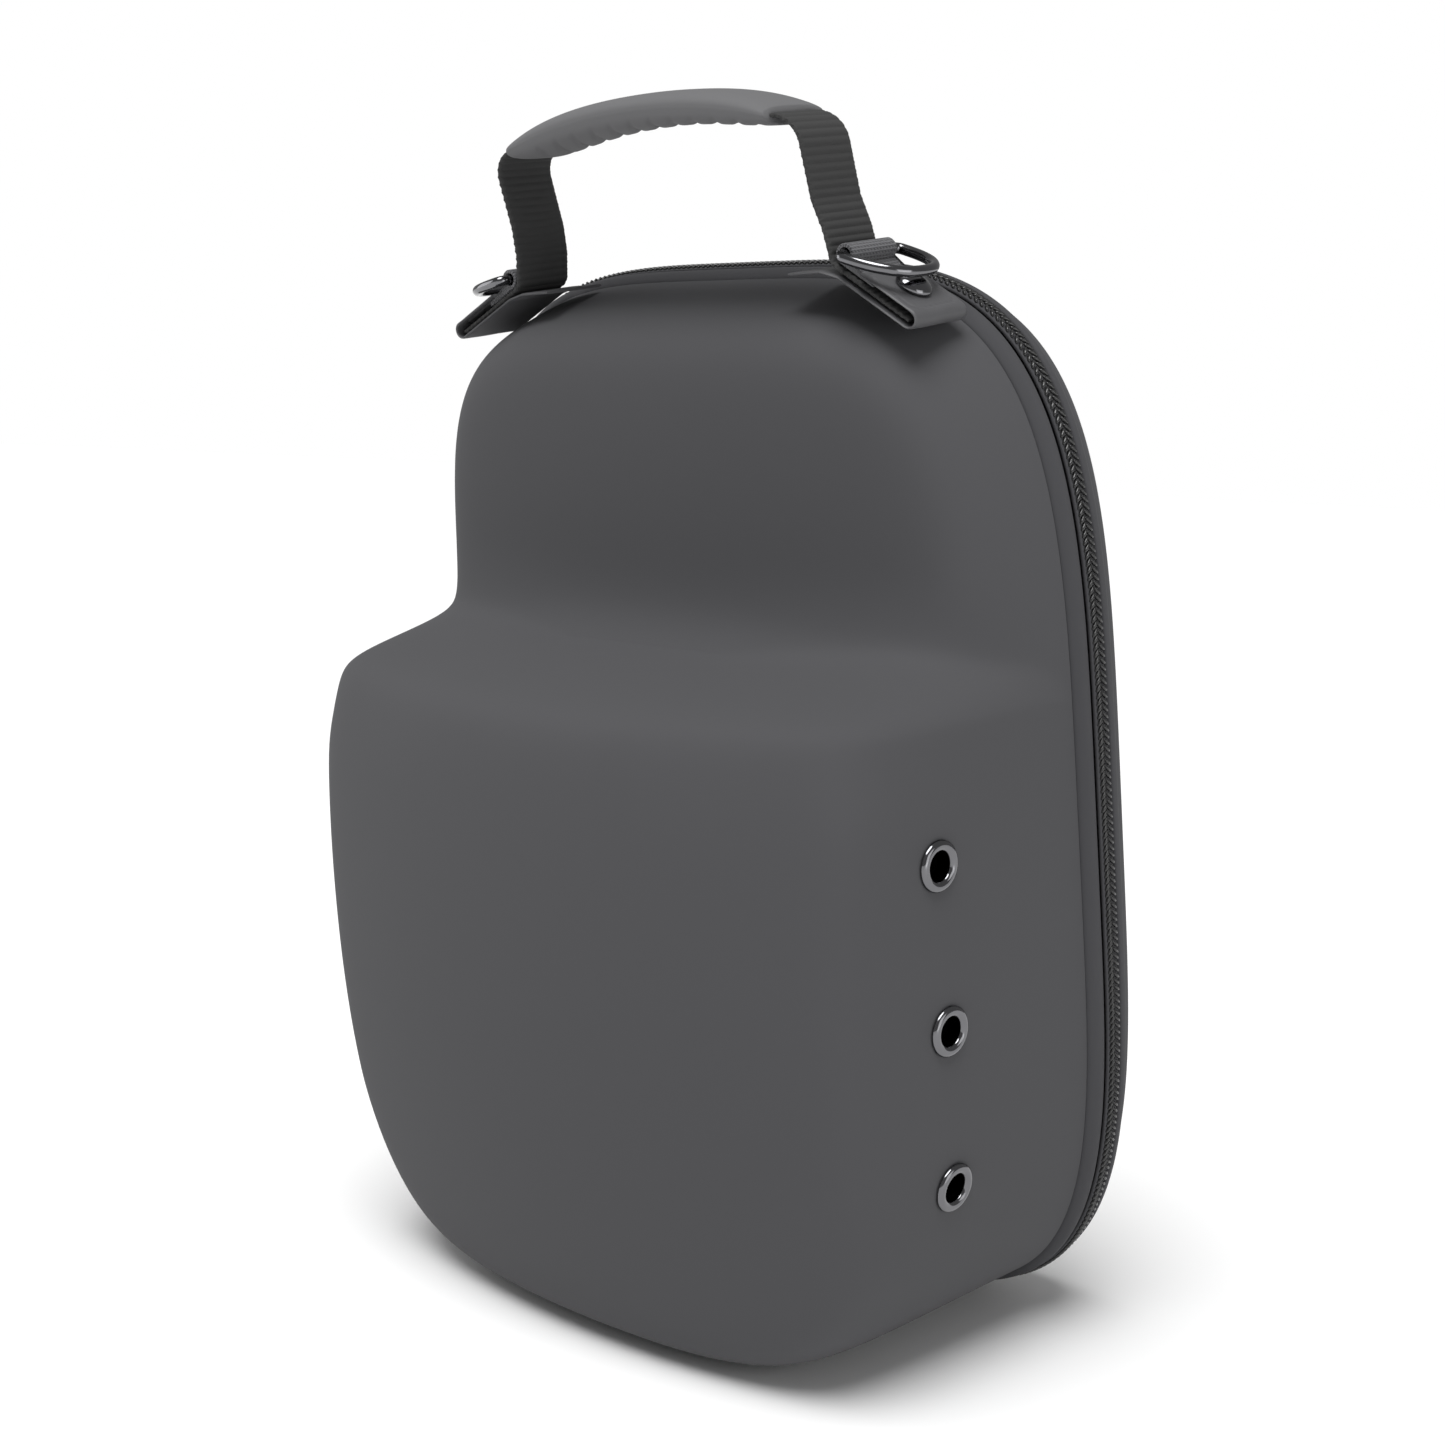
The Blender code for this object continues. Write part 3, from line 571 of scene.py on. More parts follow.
def spaced_shares(count, crowd_at=0.0, crowding=0.0, reach=20 * MM):
    """Shares from -1 to 1, closest together at both ends and round crowd_at."""
    even = np.linspace(-1, 1, 8001)
    shares = np.sign(even) * (1 - (1 - np.abs(even)) ** 2)
    nearness = ((shares - crowd_at) * (RIM_HEIGHT / 2) / reach) ** 2
    total = np.cumsum(1 + crowding * np.exp(-nearness))
    total = (total - total[0]) / (total[-1] - total[0])
    return np.interp(np.linspace(0, 1, count + 1), total, shares)


def rim_grid(across, up, skin):
    """x, z, reach and inset on a square of shares rounded to the rim's superellipse.

    Each share shrinks by the root of one less half the other's power, so the edge of
    the square lies on the rim. The reach is 1 on the rim, and the inset is the rest
    of it over its own slope.
    """
    across, up = np.meshgrid(across, up)
    narrowed = (1 - np.abs(up) ** RIM_POWER / 2) ** (1 / RIM_POWER)
    lowered = (1 - np.abs(across) ** RIM_POWER / 2) ** (1 / RIM_POWER)
    across, up = across * narrowed, up * lowered
    reach = (np.abs(across) ** RIM_POWER + np.abs(up) ** RIM_POWER) ** (1 / RIM_POWER)
    half_width, half_height = RIM_WIDTH / 2 - skin, RIM_HEIGHT / 2 - skin
    steepness = RIM_POWER - 1
    slope = np.hypot(np.abs(across) ** steepness / half_width, np.abs(up) ** steepness / half_height)
    slope = slope / np.maximum(reach, 1e-3) ** steepness
    inset = np.clip((1 - reach) / np.maximum(slope, 1e-6), 0, half_width)
    x = across * half_width * (1 - RIM_NARROWING * up)
    return x, up * half_height, reach, inset


def front_grid(columns, rows, skin, crease_depth):
    """A grid over the front shell, closest round the step, its depth from front_depth."""
    step = (CROWN_TOP - STEP_CROWD_BELOW) / (RIM_HEIGHT / 2)
    up = spaced_shares(rows, step, STEP_CROWDING, STEP_CROWD_REACH)
    x, z, reach, inset = rim_grid(spaced_shares(columns), up, skin)
    depth = front_depth(x, z, inset, skin)
    depth[reach > 1 - 1e-9] = 0
    points = np.stack([x, -depth, z - crease(x, z, depth, crease_depth)], -1)
    return soften_step(points)


def soften_step(points):
    """Averages each point with its neighbours, over and over, near both ends of the step.

    The share of the average is a bell in height round the crown's top, and grows
    from the middle to the sides. The rim stays where it is.
    """
    height = points[..., 2] - CROWN_TOP + SOFT_BELOW
    share = np.abs(points[..., 0]) / (RIM_WIDTH / 2)
    amount = np.exp(-((height / SOFT_REACH) ** 2)) * smooth_step(0.25, 0.6, share)
    amount = amount * smooth_step(1.0, 0.93, share)
    amount = amount[1:-1, 1:-1, None]
    for _ in range(SOFT_PASSES):
        inside = points[1:-1, 1:-1]
        around = points[:-2, 1:-1] + points[2:, 1:-1] + points[1:-1, :-2] + points[1:-1, 2:]
        points[1:-1, 1:-1] = inside + amount * (around / 4 - inside)
    return points


def edge_numbers(rows, columns):
    """The numbers of a grid's edge points, going round it once."""
    number = np.arange(rows * columns).reshape(rows, columns)
    sides = [number[0, :-1], number[:-1, -1], number[-1, :0:-1], number[:0:-1, 0]]
    return np.concatenate(sides)


def cup_object(name, outer, inner):
    """Two grids of the same size as the skins of a cup, joined at their edges."""
    rows, columns = outer.shape[:2]
    count = rows * columns
    skin = quads(rows, columns)
    edge = edge_numbers(rows, columns)
    beside = np.roll(edge, -1)
    lip = np.stack([edge, beside, beside + count, edge + count], -1)
    points = np.concatenate([outer.reshape(-1, 3), inner.reshape(-1, 3)])
    obj = add_object(name, in_row(points), [skin, skin[:, ::-1] + count, lip[:, ::-1]])
    face_outwards(obj)
    return obj


def cut_holes(obj, cutter):
    """Cuts the cutter out of obj and keeps the result as its mesh."""
    drill = obj.modifiers.new("Holes", "BOOLEAN")
    drill.operation = "DIFFERENCE"
    drill.object = cutter
    graph = bpy.context.evaluated_depsgraph_get()
    cut = bpy.data.meshes.new_from_object(obj.evaluated_get(graph))
    obj.modifiers.clear()
    obj.data = cut
    bpy.data.objects.remove(cutter, do_unlink=True)


def lathe(profile, sides, centre, axis):
    """Points of a closed profile of radius and height turned about an axis through centre."""
    turn = np.array(Vector((0, 0, 1)).rotation_difference(Vector(axis)).to_matrix())
    angle = np.linspace(0, 2 * pi, sides, endpoint=False)
    radius, height = np.asarray(profile).T
    ring = np.stack([np.cos(angle), np.sin(angle)], -1)
    local = np.concatenate(
        [
            radius[:, None, None] * ring[None],
            np.broadcast_to(height[:, None, None], (len(radius), sides, 1)),
        ],
        -1,
    )
    return local @ turn.T + np.asarray(centre)


def turned_uv(profile, sides):
    """Length round and along a turned profile, in metres, with the seams closed."""
    profile = np.asarray(profile)
    along = arc_length(np.vstack([profile, profile[:1]]))
    around = np.linspace(0, 2 * pi, sides + 1) * profile[:, 0].max()
    return np.stack(np.meshgrid(around, along), -1)


def side_wall_place(height, forward):
    """x and outward normal of the front shell's side wall at a height and a depth."""

    def wall_x(z, depth):
        inset = np.linspace(0, 45 * MM, 4500)
        half = rim_half_width(z)
        reached = front_depth(half - inset, np.full_like(inset, z), inset)
        return half - np.interp(depth, np.maximum.accumulate(reached), inset)

    slope_z = (wall_x(height + MM, forward) - wall_x(height - MM, forward)) / (2 * MM)
    slope_y = (wall_x(height, forward + MM) - wall_x(height, forward - MM)) / (2 * MM)
    normal = np.array([1, slope_y, -slope_z])
    return wall_x(height, forward), normal / np.linalg.norm(normal)


def eyelet_places():
    """For each eyelet: its name, its centre and its outward axis in the case's frame."""
    places = []
    for side, sign in SIDES.items():
        for number in range(EYELET_COUNT):
            height = EYELET_TOP - number * EYELET_PITCH
            x, normal = side_wall_place(height, EYELET_FORWARD)
            centre = np.array([sign * x, -EYELET_FORWARD, height])
            places.append((f"eyelet_{side}_{number + 1}", centre, normal * (sign, 1, 1)))
    return places


def round_rim(section, count):
    """A closed section of outward and y values carried round the rim, and its uv."""
    section = np.asarray(section)
    even, normal = rim_outline(count)
    place = even[None] + section[:, None, :1] * normal[None]
    y = np.broadcast_to(section[:, None, 1:], (len(section), count, 1))
    points = np.concatenate([place[..., :1], y, place[..., 1:]], -1)
    along = arc_length(np.vstack([even, even[:1]]))
    across = arc_length(np.vstack([section, section[:1]]))
    return points, np.stack(np.meshgrid(along, across), -1)


def smooth_section(corners, count):
    """A closed section with its corners rounded by three passes of averaging."""
    line = evenly(np.asarray(corners, float), count, closed=True)
    for _ in range(3):
        line = (np.roll(line, 1, axis=0) + 2 * line + np.roll(line, -1, axis=0)) / 4
    return line


# Shapes of the handle


def tab_axes(sign):
    slope = TAB_SLOPE[sign]
    along = np.array([sign * cos(slope), -sin(slope)])
    square = np.array([sign * sin(slope), cos(slope)])
    return along, square


def on_tab(sign, along_by, square_by):
    """A point in x and z that far along the tab's slope and above its underside."""
    along, square = tab_axes(sign)
    bend = np.array([sign * TAB_BEND_X, TAB_BEND_Z])
    return bend + np.multiply.outer(along_by, along) + np.multiply.outer(square_by, square)


def tab_layers():
    """Heights above the tab's underside of the strap, the keeper's tail and the top leather."""
    strap = TAB_LEATHER + GAP + STRAP_THICKNESS / 2
    tail = strap + STRAP_THICKNESS / 2 + GAP + KEEPER_THICKNESS / 2
    top = tail + KEEPER_THICKNESS / 2 + GAP + TAB_LEATHER / 2
    return strap, tail, top


def strap_line(sign):
    """The strap's middle line: up the tab, round a bend, and a quarter circle to the grip."""
    strap, _, _ = tab_layers()
    slope = TAB_SLOPE[sign]
    line = [on_tab(sign, np.linspace(TAB_LENGTH - STRAP_SHORT, STRAP_FOOT, 40), strap)]
    heading = np.linspace(slope, pi / 2, 24)[1:]
    inward = STRAP_BEND * (np.sin(heading) - sin(slope))
    upward = STRAP_BEND * (cos(slope) - np.cos(heading))
    line.append(line[0][-1] + np.stack([-sign * inward, upward], -1))
    foot = line[-1][-1]
    top_x, top_z = GRIP_LENGTH / 2 - GAP, TAB_BEND_Z + HANDLE_RISE - GRIP_ARCH
    shoulder_x, shoulder_z = top_x + 2 * GAP, top_z - STRAP_SHOULDER
    leg_x = shoulder_x + STRAP_SHOULDER
    half_way = np.array([sign * leg_x, (foot[1] + shoulder_z) / 2])
    turn = np.linspace(0, pi / 2, 40)
    shoulder = np.stack([shoulder_x + STRAP_SHOULDER * np.cos(turn), np.sin(turn)], -1)
    shoulder = shoulder * (sign, STRAP_SHOULDER) + (0, shoulder_z)
    return np.vstack([*line, half_way[None], shoulder])


def strip_section(width, thickness, count):
    """A strip's section: a superellipse of a high power across and a low power up."""
    angle = np.linspace(0, 2 * pi, 720, endpoint=False)
    across = width / 2 * signed_power(np.cos(angle), 2 / 14)
    height = thickness / 2 * signed_power(np.sin(angle), 2 / 3)
    return evenly(np.stack([across, height], -1), count, closed=True)


def swept_strip(line, section, width_at=None, lift_at=None, lean=None):
    """A section of across and height values carried along a line in x and z.

    width_at scales the section's width along the line. lift_at adds to the height at
    each length along and place across. lean shifts points forward by their height.
    """
    ahead = np.gradient(line, axis=0)
    ahead /= np.linalg.norm(ahead, axis=1, keepdims=True)
    normal = np.stack([-ahead[:, 1], ahead[:, 0]], -1)
    length = arc_length(line)
    across, height = section.T
    wide = np.ones(len(line)) if width_at is None else width_at(length)
    y = wide[:, None] * across[None]
    lift = np.broadcast_to(height[None], y.shape)
    if lift_at is not None:
        lift = lift + np.sign(height)[None] * lift_at(length[:, None], y)
    x = line[:, :1] + normal[:, :1] * lift
    z = line[:, 1:] + normal[:, 1:] * lift
    if lean is not None:
        y = y - lean(z)
    points = np.stack([x, y, z], -1)
    around = arc_length(np.vstack([section, section[:1]]))
    along = np.broadcast_to(length[:, None], (len(line), len(around)))
    return points, np.stack([along, np.broadcast_to(around[None], along.shape)], -1)


def ring_bar_on_tab(sign):
    """The bar's place along and above the tab, with the keeper clear of the strap."""
    strap, _, _ = tab_layers()
    clear = STRAP_THICKNESS / 2 + GAP + KEEPER_BORE + KEEPER_THICKNESS
    above = strap + clear
    slope = TAB_SLOPE[sign]
    inward = STRAP_BEND * (1 - sin(slope))
    leg_x = abs(on_tab(sign, STRAP_FOOT, strap)[0]) - inward
    along = (leg_x + clear + GAP - TAB_BEND_X - above * sin(slope)) / cos(slope)
    return along, above


def ring_bar(sign):
    x, z = on_tab(sign, *ring_bar_on_tab(sign))
    return abs(x), z


def rivet_along():
    return TAB_LENGTH - TAB_LAP / 2 - RIVET_BACK


def ring_rest_angle(sign):
    """How far the ring falls below level until its wire rests on the rivet's dome."""
    _, _, top = tab_layers()
    crest = top + TAB_LEATHER / 2 + GAP + RIVET_DOME + RIVET_RIM
    rivet_x, rivet_z = on_tab(sign, rivet_along(), crest)
    bar_x, bar_z = ring_bar(sign)
    fall = bar_z - rivet_z - (RING_WIRE / 2 + GAP) / cos(TAB_SLOPE[sign])
    return atan2(fall, min(abs(rivet_x) - bar_x, RING_REACH))


def ring_line(sign, count):
    """The D's middle line in the handle's frame, laid down on the rivet.

    The outer part is half a superellipse; the bar part is one with squarer corners.
    """
    turn = np.linspace(0, 2 * pi, 4000, endpoint=False)
    outer = np.sin(turn) > 0
    power = np.where(outer, RING_ROUNDNESS, RING_BAR_POWER)
    reach = np.where(outer, RING_REACH - RING_CORNER, RING_CORNER)
    across = RING_WIDTH / 2 * signed_power(np.cos(turn), 2 / power)
    out = RING_CORNER + reach * signed_power(np.sin(turn), 2 / power)
    line = evenly(np.stack([across, out], -1), count, closed=True)
    bar_x, bar_z = ring_bar(sign)
    fall = ring_rest_angle(sign)
    x = sign * (bar_x + line[:, 1] * cos(fall))
    z = bar_z - line[:, 1] * sin(fall)
    return np.stack([x, line[:, 0], z], -1)


def tube(line, radius, sides):
    """A round wire round a closed flat line: its section turns with the line's own normal."""
    ahead = np.roll(line, -1, axis=0) - np.roll(line, 1, axis=0)
    ahead /= np.linalg.norm(ahead, axis=1, keepdims=True)
    flat = np.cross(line[len(line) // 4] - line[0], line[len(line) // 2] - line[0])
    flat /= np.linalg.norm(flat)
    outward = np.cross(ahead, flat)
    angle = np.linspace(0, 2 * pi, sides, endpoint=False)
    ring = np.cos(angle)[None, :, None] * outward[:, None] + np.sin(angle)[None, :, None] * flat
    points = line[:, None] + radius * ring
    length = arc_length(np.vstack([line, line[:1]]))
    around = np.linspace(0, 2 * pi, sides + 1) * radius
    uv = np.stack(np.meshgrid(length, around, indexing="ij"), -1)
    return points, uv


# Shader building blocks


class Graph:
    """Adds nodes to a tree, linking sockets and setting plain values."""

    def __init__(self, tree):
        self.tree = tree

    def node(self, kind, inputs=None, **settings):
        made = self.tree.nodes.new(kind)
        for key, value in settings.items():
            setattr(made, key, value)
        for socket, value in (inputs or {}).items():
            self.put(value, made.inputs[socket])
        return made

    def put(self, value, socket):
        if isinstance(value, bpy.types.NodeSocket):
            self.tree.links.new(value, socket)
        else:
            socket.default_value = value

    def math(self, operation, *values):
        made = self.tree.nodes.new("ShaderNodeMath")
        made.operation = operation
        for number, value in enumerate(values):
            self.put(value, made.inputs[number])
        return made.outputs[0]

    def split(self, vector):
        return self.node("ShaderNodeSeparateXYZ", {0: vector}).outputs

    def mix(self, share, low, high):
        return self.node("ShaderNodeMix", {0: share, 2: low, 3: high}).outputs[0]

    def tint(self, share, low, high):
        made = self.node("ShaderNodeMix", {0: share, 6: low, 7: high}, data_type="RGBA")
        return made.outputs[2]

    def wave(self, value):
        """0 to 1 and back with the cosine of a value counted in turns."""
        turned = self.math("COSINE", self.math("MULTIPLY", value, 2 * pi))
        return self.math("MULTIPLY_ADD", turned, 0.5, 0.5)

    def noise(self, vector, scale, detail=3.0, roughness=0.55):
        inputs = {"Vector": vector, "Scale": scale, "Detail": detail, "Roughness": roughness}
        return self.node("ShaderNodeTexNoise", inputs).outputs[0]


def new_group(name, inputs, outputs):
    """A shader node group with named sockets, and its graph and end nodes."""
    tree = bpy.data.node_groups.new(name, "ShaderNodeTree")
    for label, kind, default in inputs:
        socket = tree.interface.new_socket(label, in_out="INPUT", socket_type=kind)
        if default is not None:
            socket.default_value = default
    for label in outputs:
        tree.interface.new_socket(label, in_out="OUTPUT", socket_type="NodeSocketFloat")
    graph = Graph(tree)
    start = graph.node("NodeGroupInput").outputs
    end = graph.node("NodeGroupOutput")
    return graph, start, end


FLOAT = "NodeSocketFloat"
VECTOR = "NodeSocketVector"
KNIT_SWAY = 0.6 * MM
TAPE_WEAVE_DEPTH = 0.16 * MM
WEBBING_DEPTH = 0.28 * MM
LEATHER_GRAIN_DEPTH = 0.05 * MM
RUBBER_GRAIN_DEPTH = 0.02 * MM


def knit_group():
    """Columns of small V stitches, laid along whichever two axes the surface faces least.

    Height is a wave of the place along the column plus the distance from its middle.
    """
    inputs = [("Place", VECTOR, None), ("Facing", VECTOR, None), ("Pitch", FLOAT, 0.7 * MM)]
    graph, start, end = new_group("Knit", inputs, ["Height", "Shade"])
    x, y, z = graph.split(start["Place"])
    faces = [graph.math("ABSOLUTE", value) for value in graph.split(start["Facing"])]
    sideways = graph.math("GREATER_THAN", faces[0], graph.math("MAXIMUM", faces[1], faces[2]))
    upward = graph.math("GREATER_THAN", faces[2], graph.math("MAXIMUM", faces[0], faces[1]))
    wobble = graph.noise(start["Place"], 60.0, 2.0)
    sway = graph.math("MULTIPLY_ADD", wobble, 2 * KNIT_SWAY, -KNIT_SWAY)
    along = graph.math("ADD", graph.mix(upward, z, y), sway)
    across = graph.math("ADD", graph.mix(sideways, x, y), sway)
    column = graph.math("DIVIDE", across, start["Pitch"])
    share = graph.math("SUBTRACT", graph.math("FRACT", column), 0.5)
    side = graph.math("ABSOLUTE", share)
    row = graph.math("MULTIPLY_ADD", graph.math("DIVIDE", along, start["Pitch"]), 1.25, side)
    loop = graph.wave(row)
    rounded = graph.wave(graph.math("SUBTRACT", graph.math("MULTIPLY", side, 2.0), 0.5))
    height = graph.math("MULTIPLY", loop, rounded)
    graph.put(height, end.inputs["Height"])
    blotch = graph.math("MULTIPLY_ADD", graph.noise(start["Place"], 700.0, 3.0, 0.9), 6.0, -2.6)
    # Shade is the stitch height, as painted highlight on the stitch tops and painted shade in the
    # hollows, plus random blotches of tone
    graph.put(graph.math("MULTIPLY_ADD", height, 0.35, blotch), end.inputs["Shade"])
    return graph.tree


def weave_group():
    """A herringbone tape: diagonal yarns that turn back at the edge of each band."""
    inputs = [("Surface", VECTOR, None), ("Pitch", FLOAT, 0.75 * MM), ("Band", FLOAT, 3.2 * MM)]
    graph, start, end = new_group("Herringbone", inputs, ["Height", "Shade"])
    along, across, _ = graph.split(start["Surface"])
    band = graph.math("FRACT", graph.math("DIVIDE", across, start["Band"]))
    turned = graph.math("ABSOLUTE", graph.math("SUBTRACT", band, 0.5))
    lag = graph.math("MULTIPLY", turned, graph.math("DIVIDE", start["Band"], start["Pitch"]))
    yarn = graph.wave(graph.math("ADD", graph.math("DIVIDE", along, start["Pitch"]), lag))
    thread = graph.wave(graph.math("DIVIDE", across, graph.math("MULTIPLY", start["Pitch"], 0.55)))
    height = graph.math("MULTIPLY", graph.math("MULTIPLY_ADD", thread, 0.35, 0.65), yarn)
    graph.put(height, end.inputs["Height"])
    fuzz = graph.noise(start["Surface"], 1400.0, 2.0)
    # Shade is random fuzz plus the yarn height, as painted highlight on the yarns and painted shade
    # between them
    shade = graph.math("MULTIPLY_ADD", fuzz, 0.6, graph.math("MULTIPLY", height, 0.6))
    graph.put(shade, end.inputs["Shade"])
    return graph.tree


def webbing_group():
    """Ribs across the strap with slanted picks between them."""
    inputs = [("Surface", VECTOR, None), ("Rib pitch", FLOAT, 4.4 * MM), ("Pick", FLOAT, 2.4 * MM)]
    graph, start, end = new_group("Webbing", inputs, ["Height", "Shade"])
    along, across, _ = graph.split(start["Surface"])
    turn = graph.math("DIVIDE", along, graph.math("MULTIPLY", start["Rib pitch"], 0.5))
    rib = graph.math("SUBTRACT", 1.0, graph.wave(turn))
    slant = graph.math("MULTIPLY", along, 0.8)
    pick = graph.wave(graph.math("DIVIDE", graph.math("ADD", across, slant), start["Pick"]))
    fine = graph.wave(graph.math("DIVIDE", along, graph.math("MULTIPLY", start["Rib pitch"], 0.125)))
    body = graph.math("MULTIPLY_ADD", fine, 0.3, graph.math("MULTIPLY", pick, 0.7))
    height = graph.math("MAXIMUM", rib, graph.math("MULTIPLY", body, 0.75))
    graph.put(height, end.inputs["Height"])
    fuzz = graph.noise(start["Surface"], 1200.0, 2.0)
    # Shade is random fuzz plus the rib height, as painted highlight on the ribs and painted shade in
    # the hollows
    shade = graph.math("MULTIPLY_ADD", fuzz, 0.5, graph.math("MULTIPLY", height, 0.7))
    graph.put(shade, end.inputs["Shade"])
    return graph.tree


def grain_group():
    """Pebbled leather or rubber: cells of two sizes with soft creases between them."""
    inputs = [("Place", VECTOR, None), ("Scale", FLOAT, 900.0)]
    graph, start, end = new_group("Grain", inputs, ["Height", "Shade"])
    cells = graph.node(
        "ShaderNodeTexVoronoi", {"Vector": start["Place"], "Scale": start["Scale"]}, feature="F1"
    ).outputs[0]
    fine = graph.noise(start["Place"], graph.math("MULTIPLY", start["Scale"], 2.3), 3.0)
    broad = graph.noise(start["Place"], graph.math("MULTIPLY", start["Scale"], 0.08), 3.0)
    height = graph.math("MULTIPLY_ADD", fine, 0.4, graph.math("SUBTRACT", 0.8, cells))
    graph.put(height, end.inputs["Height"])
    shade = graph.math("MULTIPLY_ADD", fine, 0.3, graph.math("MULTIPLY", broad, 0.8))
    graph.put(shade, end.inputs["Shade"])
    return graph.tree


def wear_group():
    """Smudges and fine rubbing: broad noise times stretched noise."""
    inputs = [("Place", VECTOR, None), ("Scale", FLOAT, 60.0)]
    graph, start, end = new_group("Wear", inputs, ["Smudge", "Scratch"])
    smudge = graph.noise(start["Place"], start["Scale"], 4.0, 0.6)
    graph.put(smudge, end.inputs["Smudge"])
    long_way = graph.node("ShaderNodeMapping", {0: start["Place"], 3: (1.0, 14.0, 1.0)}).outputs[0]
    scratch = graph.noise(long_way, graph.math("MULTIPLY", start["Scale"], 6.0), 2.0, 0.7)
    graph.put(scratch, end.inputs["Scratch"])
    return graph.tree


def group_named(name):
    makers = {
        "Knit": knit_group,
        "Herringbone": weave_group,
        "Webbing": webbing_group,
        "Grain": grain_group,
        "Wear": wear_group,
    }
    return bpy.data.node_groups.get(name) or makers[name]()


def place_group(graph, name, inputs):
    made = graph.node("ShaderNodeGroup", node_tree=group_named(name))
    for label, value in inputs.items():
        graph.put(value, made.inputs[label])
    return made.outputs


def new_material(name):
    """A material with an empty graph but for its Principled shader, which is given back too."""
    made = bpy.data.materials.new(name)
    made.use_nodes = True
    return made, Graph(made.node_tree), made.node_tree.nodes["Principled BSDF"]


def shades(colour, dark, light):
    """A colour made darker and lighter, as two RGBA values."""
    return (*[part * dark for part in colour], 1), (*[part * light for part in colour], 1)


def bumped(graph, height, distance):
    inputs = {"Height": height, "Distance": distance, "Strength": 1.0}
    return graph.node("ShaderNodeBump", inputs).outputs[0]


def leaned(graph, vector, kind):
    """A row-frame place or direction in the case's own frame."""
    shift = tuple(-PLACE) if kind == "POINT" else (0, 0, 0)
    moved = graph.node("ShaderNodeVectorMath", {0: vector, 1: shift}, operation="ADD").outputs[0]
    return graph.node("ShaderNodeMapping", {0: moved, 2: (-LEAN, 0, 0)}, vector_type="POINT").outputs[0]


def shell_fabric(settings):
    """Charcoal knit with a soft bloom at its edges."""
    made, graph, shader = new_material("shell_fabric")
    place = graph.node("ShaderNodeTexCoord").outputs["Object"]
    facing = graph.node("ShaderNodeNewGeometry").outputs["Normal"]
    inputs = {
        "Place": leaned(graph, place, "POINT"),
        "Facing": leaned(graph, facing, "VECTOR"),
        "Pitch": settings.knit_pitch,
    }
    knit = place_group(graph, "Knit", inputs)
    wear = place_group(graph, "Wear", {"Place": place, "Scale": 14.0})
    low, high = shades(settings.fabric, 0.35, 1.75)
    # The knit's Shade brings painted highlight on the stitches and painted shade in their hollows; the
    # smudge and blotches are random tone
    shade = graph.math("MULTIPLY_ADD", wear["Smudge"], 0.2, graph.math("SUBTRACT", knit["Shade"], 0.1))
    graph.put(graph.tint(shade, low, high), shader.inputs["Base Color"])
    graph.put(bumped(graph, knit["Height"], settings.knit_depth), shader.inputs["Normal"])
    shader.inputs["Roughness"].default_value = 0.52
    shader.inputs["Specular IOR Level"].default_value = 0.85
    shader.inputs["Sheen Weight"].default_value = 0.15
    shader.inputs["Sheen Roughness"].default_value = 0.4
    return made


def uv_place(graph):
    return graph.node("ShaderNodeUVMap", uv_map="surface").outputs[0]


def tape_fabric(settings):
    """The zip's herringbone tape."""
    made, graph, shader = new_material("zip_tape")
    inputs = {"Surface": uv_place(graph), "Pitch": settings.weave_pitch}
    weave = place_group(graph, "Herringbone", inputs)
    low, high = shades(settings.tape, 0.35, 2.1)
    # The tape's colour carries painted highlight on the yarns and painted shade between them, besides
    # random fuzz
    graph.put(graph.tint(weave["Shade"], low, high), shader.inputs["Base Color"])
    graph.put(bumped(graph, weave["Height"], TAPE_WEAVE_DEPTH), shader.inputs["Normal"])
    shader.inputs["Roughness"].default_value = 0.75
    shader.inputs["Specular IOR Level"].default_value = 0.3
    shader.inputs["Sheen Weight"].default_value = 0.3
    return made


def coil_plastic(settings):
    """Glossy coil of the zip, a little dusty."""
    made, graph, shader = new_material("zip_teeth")
    place = graph.node("ShaderNodeTexCoord").outputs["Object"]
    wear = place_group(graph, "Wear", {"Place": place, "Scale": 400.0})
    low, high = shades(settings.teeth, 0.6, 1.5)
    graph.put(graph.tint(wear["Smudge"], low, high), shader.inputs["Base Color"])
    graph.put(graph.mix(wear["Smudge"], 0.22, 0.42), shader.inputs["Roughness"])
    shader.inputs["Specular IOR Level"].default_value = 0.65
    return made


def webbing_fabric(settings, name, rib_pitch, pick):
    """Ribbed webbing, dull in the hollows and with a silky shine on the ribs; its colour is painted
    lighter on the ribs as a highlight and darker in the hollows as shade.
    """
    made, graph, shader = new_material(name)
    inputs = {"Surface": uv_place(graph), "Rib pitch": rib_pitch, "Pick": pick}
    web = place_group(graph, "Webbing", inputs)
    low, high = shades(settings.webbing, 0.35, 4.5)
    # The webbing's colour carries painted highlight on the ribs and painted shade in the hollows,
    # besides random fuzz
    graph.put(graph.tint(web["Shade"], low, high), shader.inputs["Base Color"])
    graph.put(bumped(graph, web["Height"], WEBBING_DEPTH), shader.inputs["Normal"])
    graph.put(graph.mix(web["Height"], 0.75, 0.5), shader.inputs["Roughness"])
    shader.inputs["Specular IOR Level"].default_value = 0.35
    shader.inputs["Sheen Weight"].default_value = 0.2
    return made


def tab_leather(settings):
    """Grey synthetic leather with a fine pebble and paler rubbed places."""
    made, graph, shader = new_material("tab_leather")
    place = graph.node("ShaderNodeTexCoord").outputs["Object"]
    grain = place_group(graph, "Grain", {"Place": place, "Scale": 1500.0})
    wear = place_group(graph, "Wear", {"Place": place, "Scale": 180.0})
    low, high = shades(settings.leather, 0.6, 1.7)
    graph.put(graph.tint(grain["Shade"], low, high), shader.inputs["Base Color"])
    graph.put(bumped(graph, grain["Height"], LEATHER_GRAIN_DEPTH), shader.inputs["Normal"])
    graph.put(graph.mix(wear["Smudge"], 0.36, 0.56), shader.inputs["Roughness"])
    return made


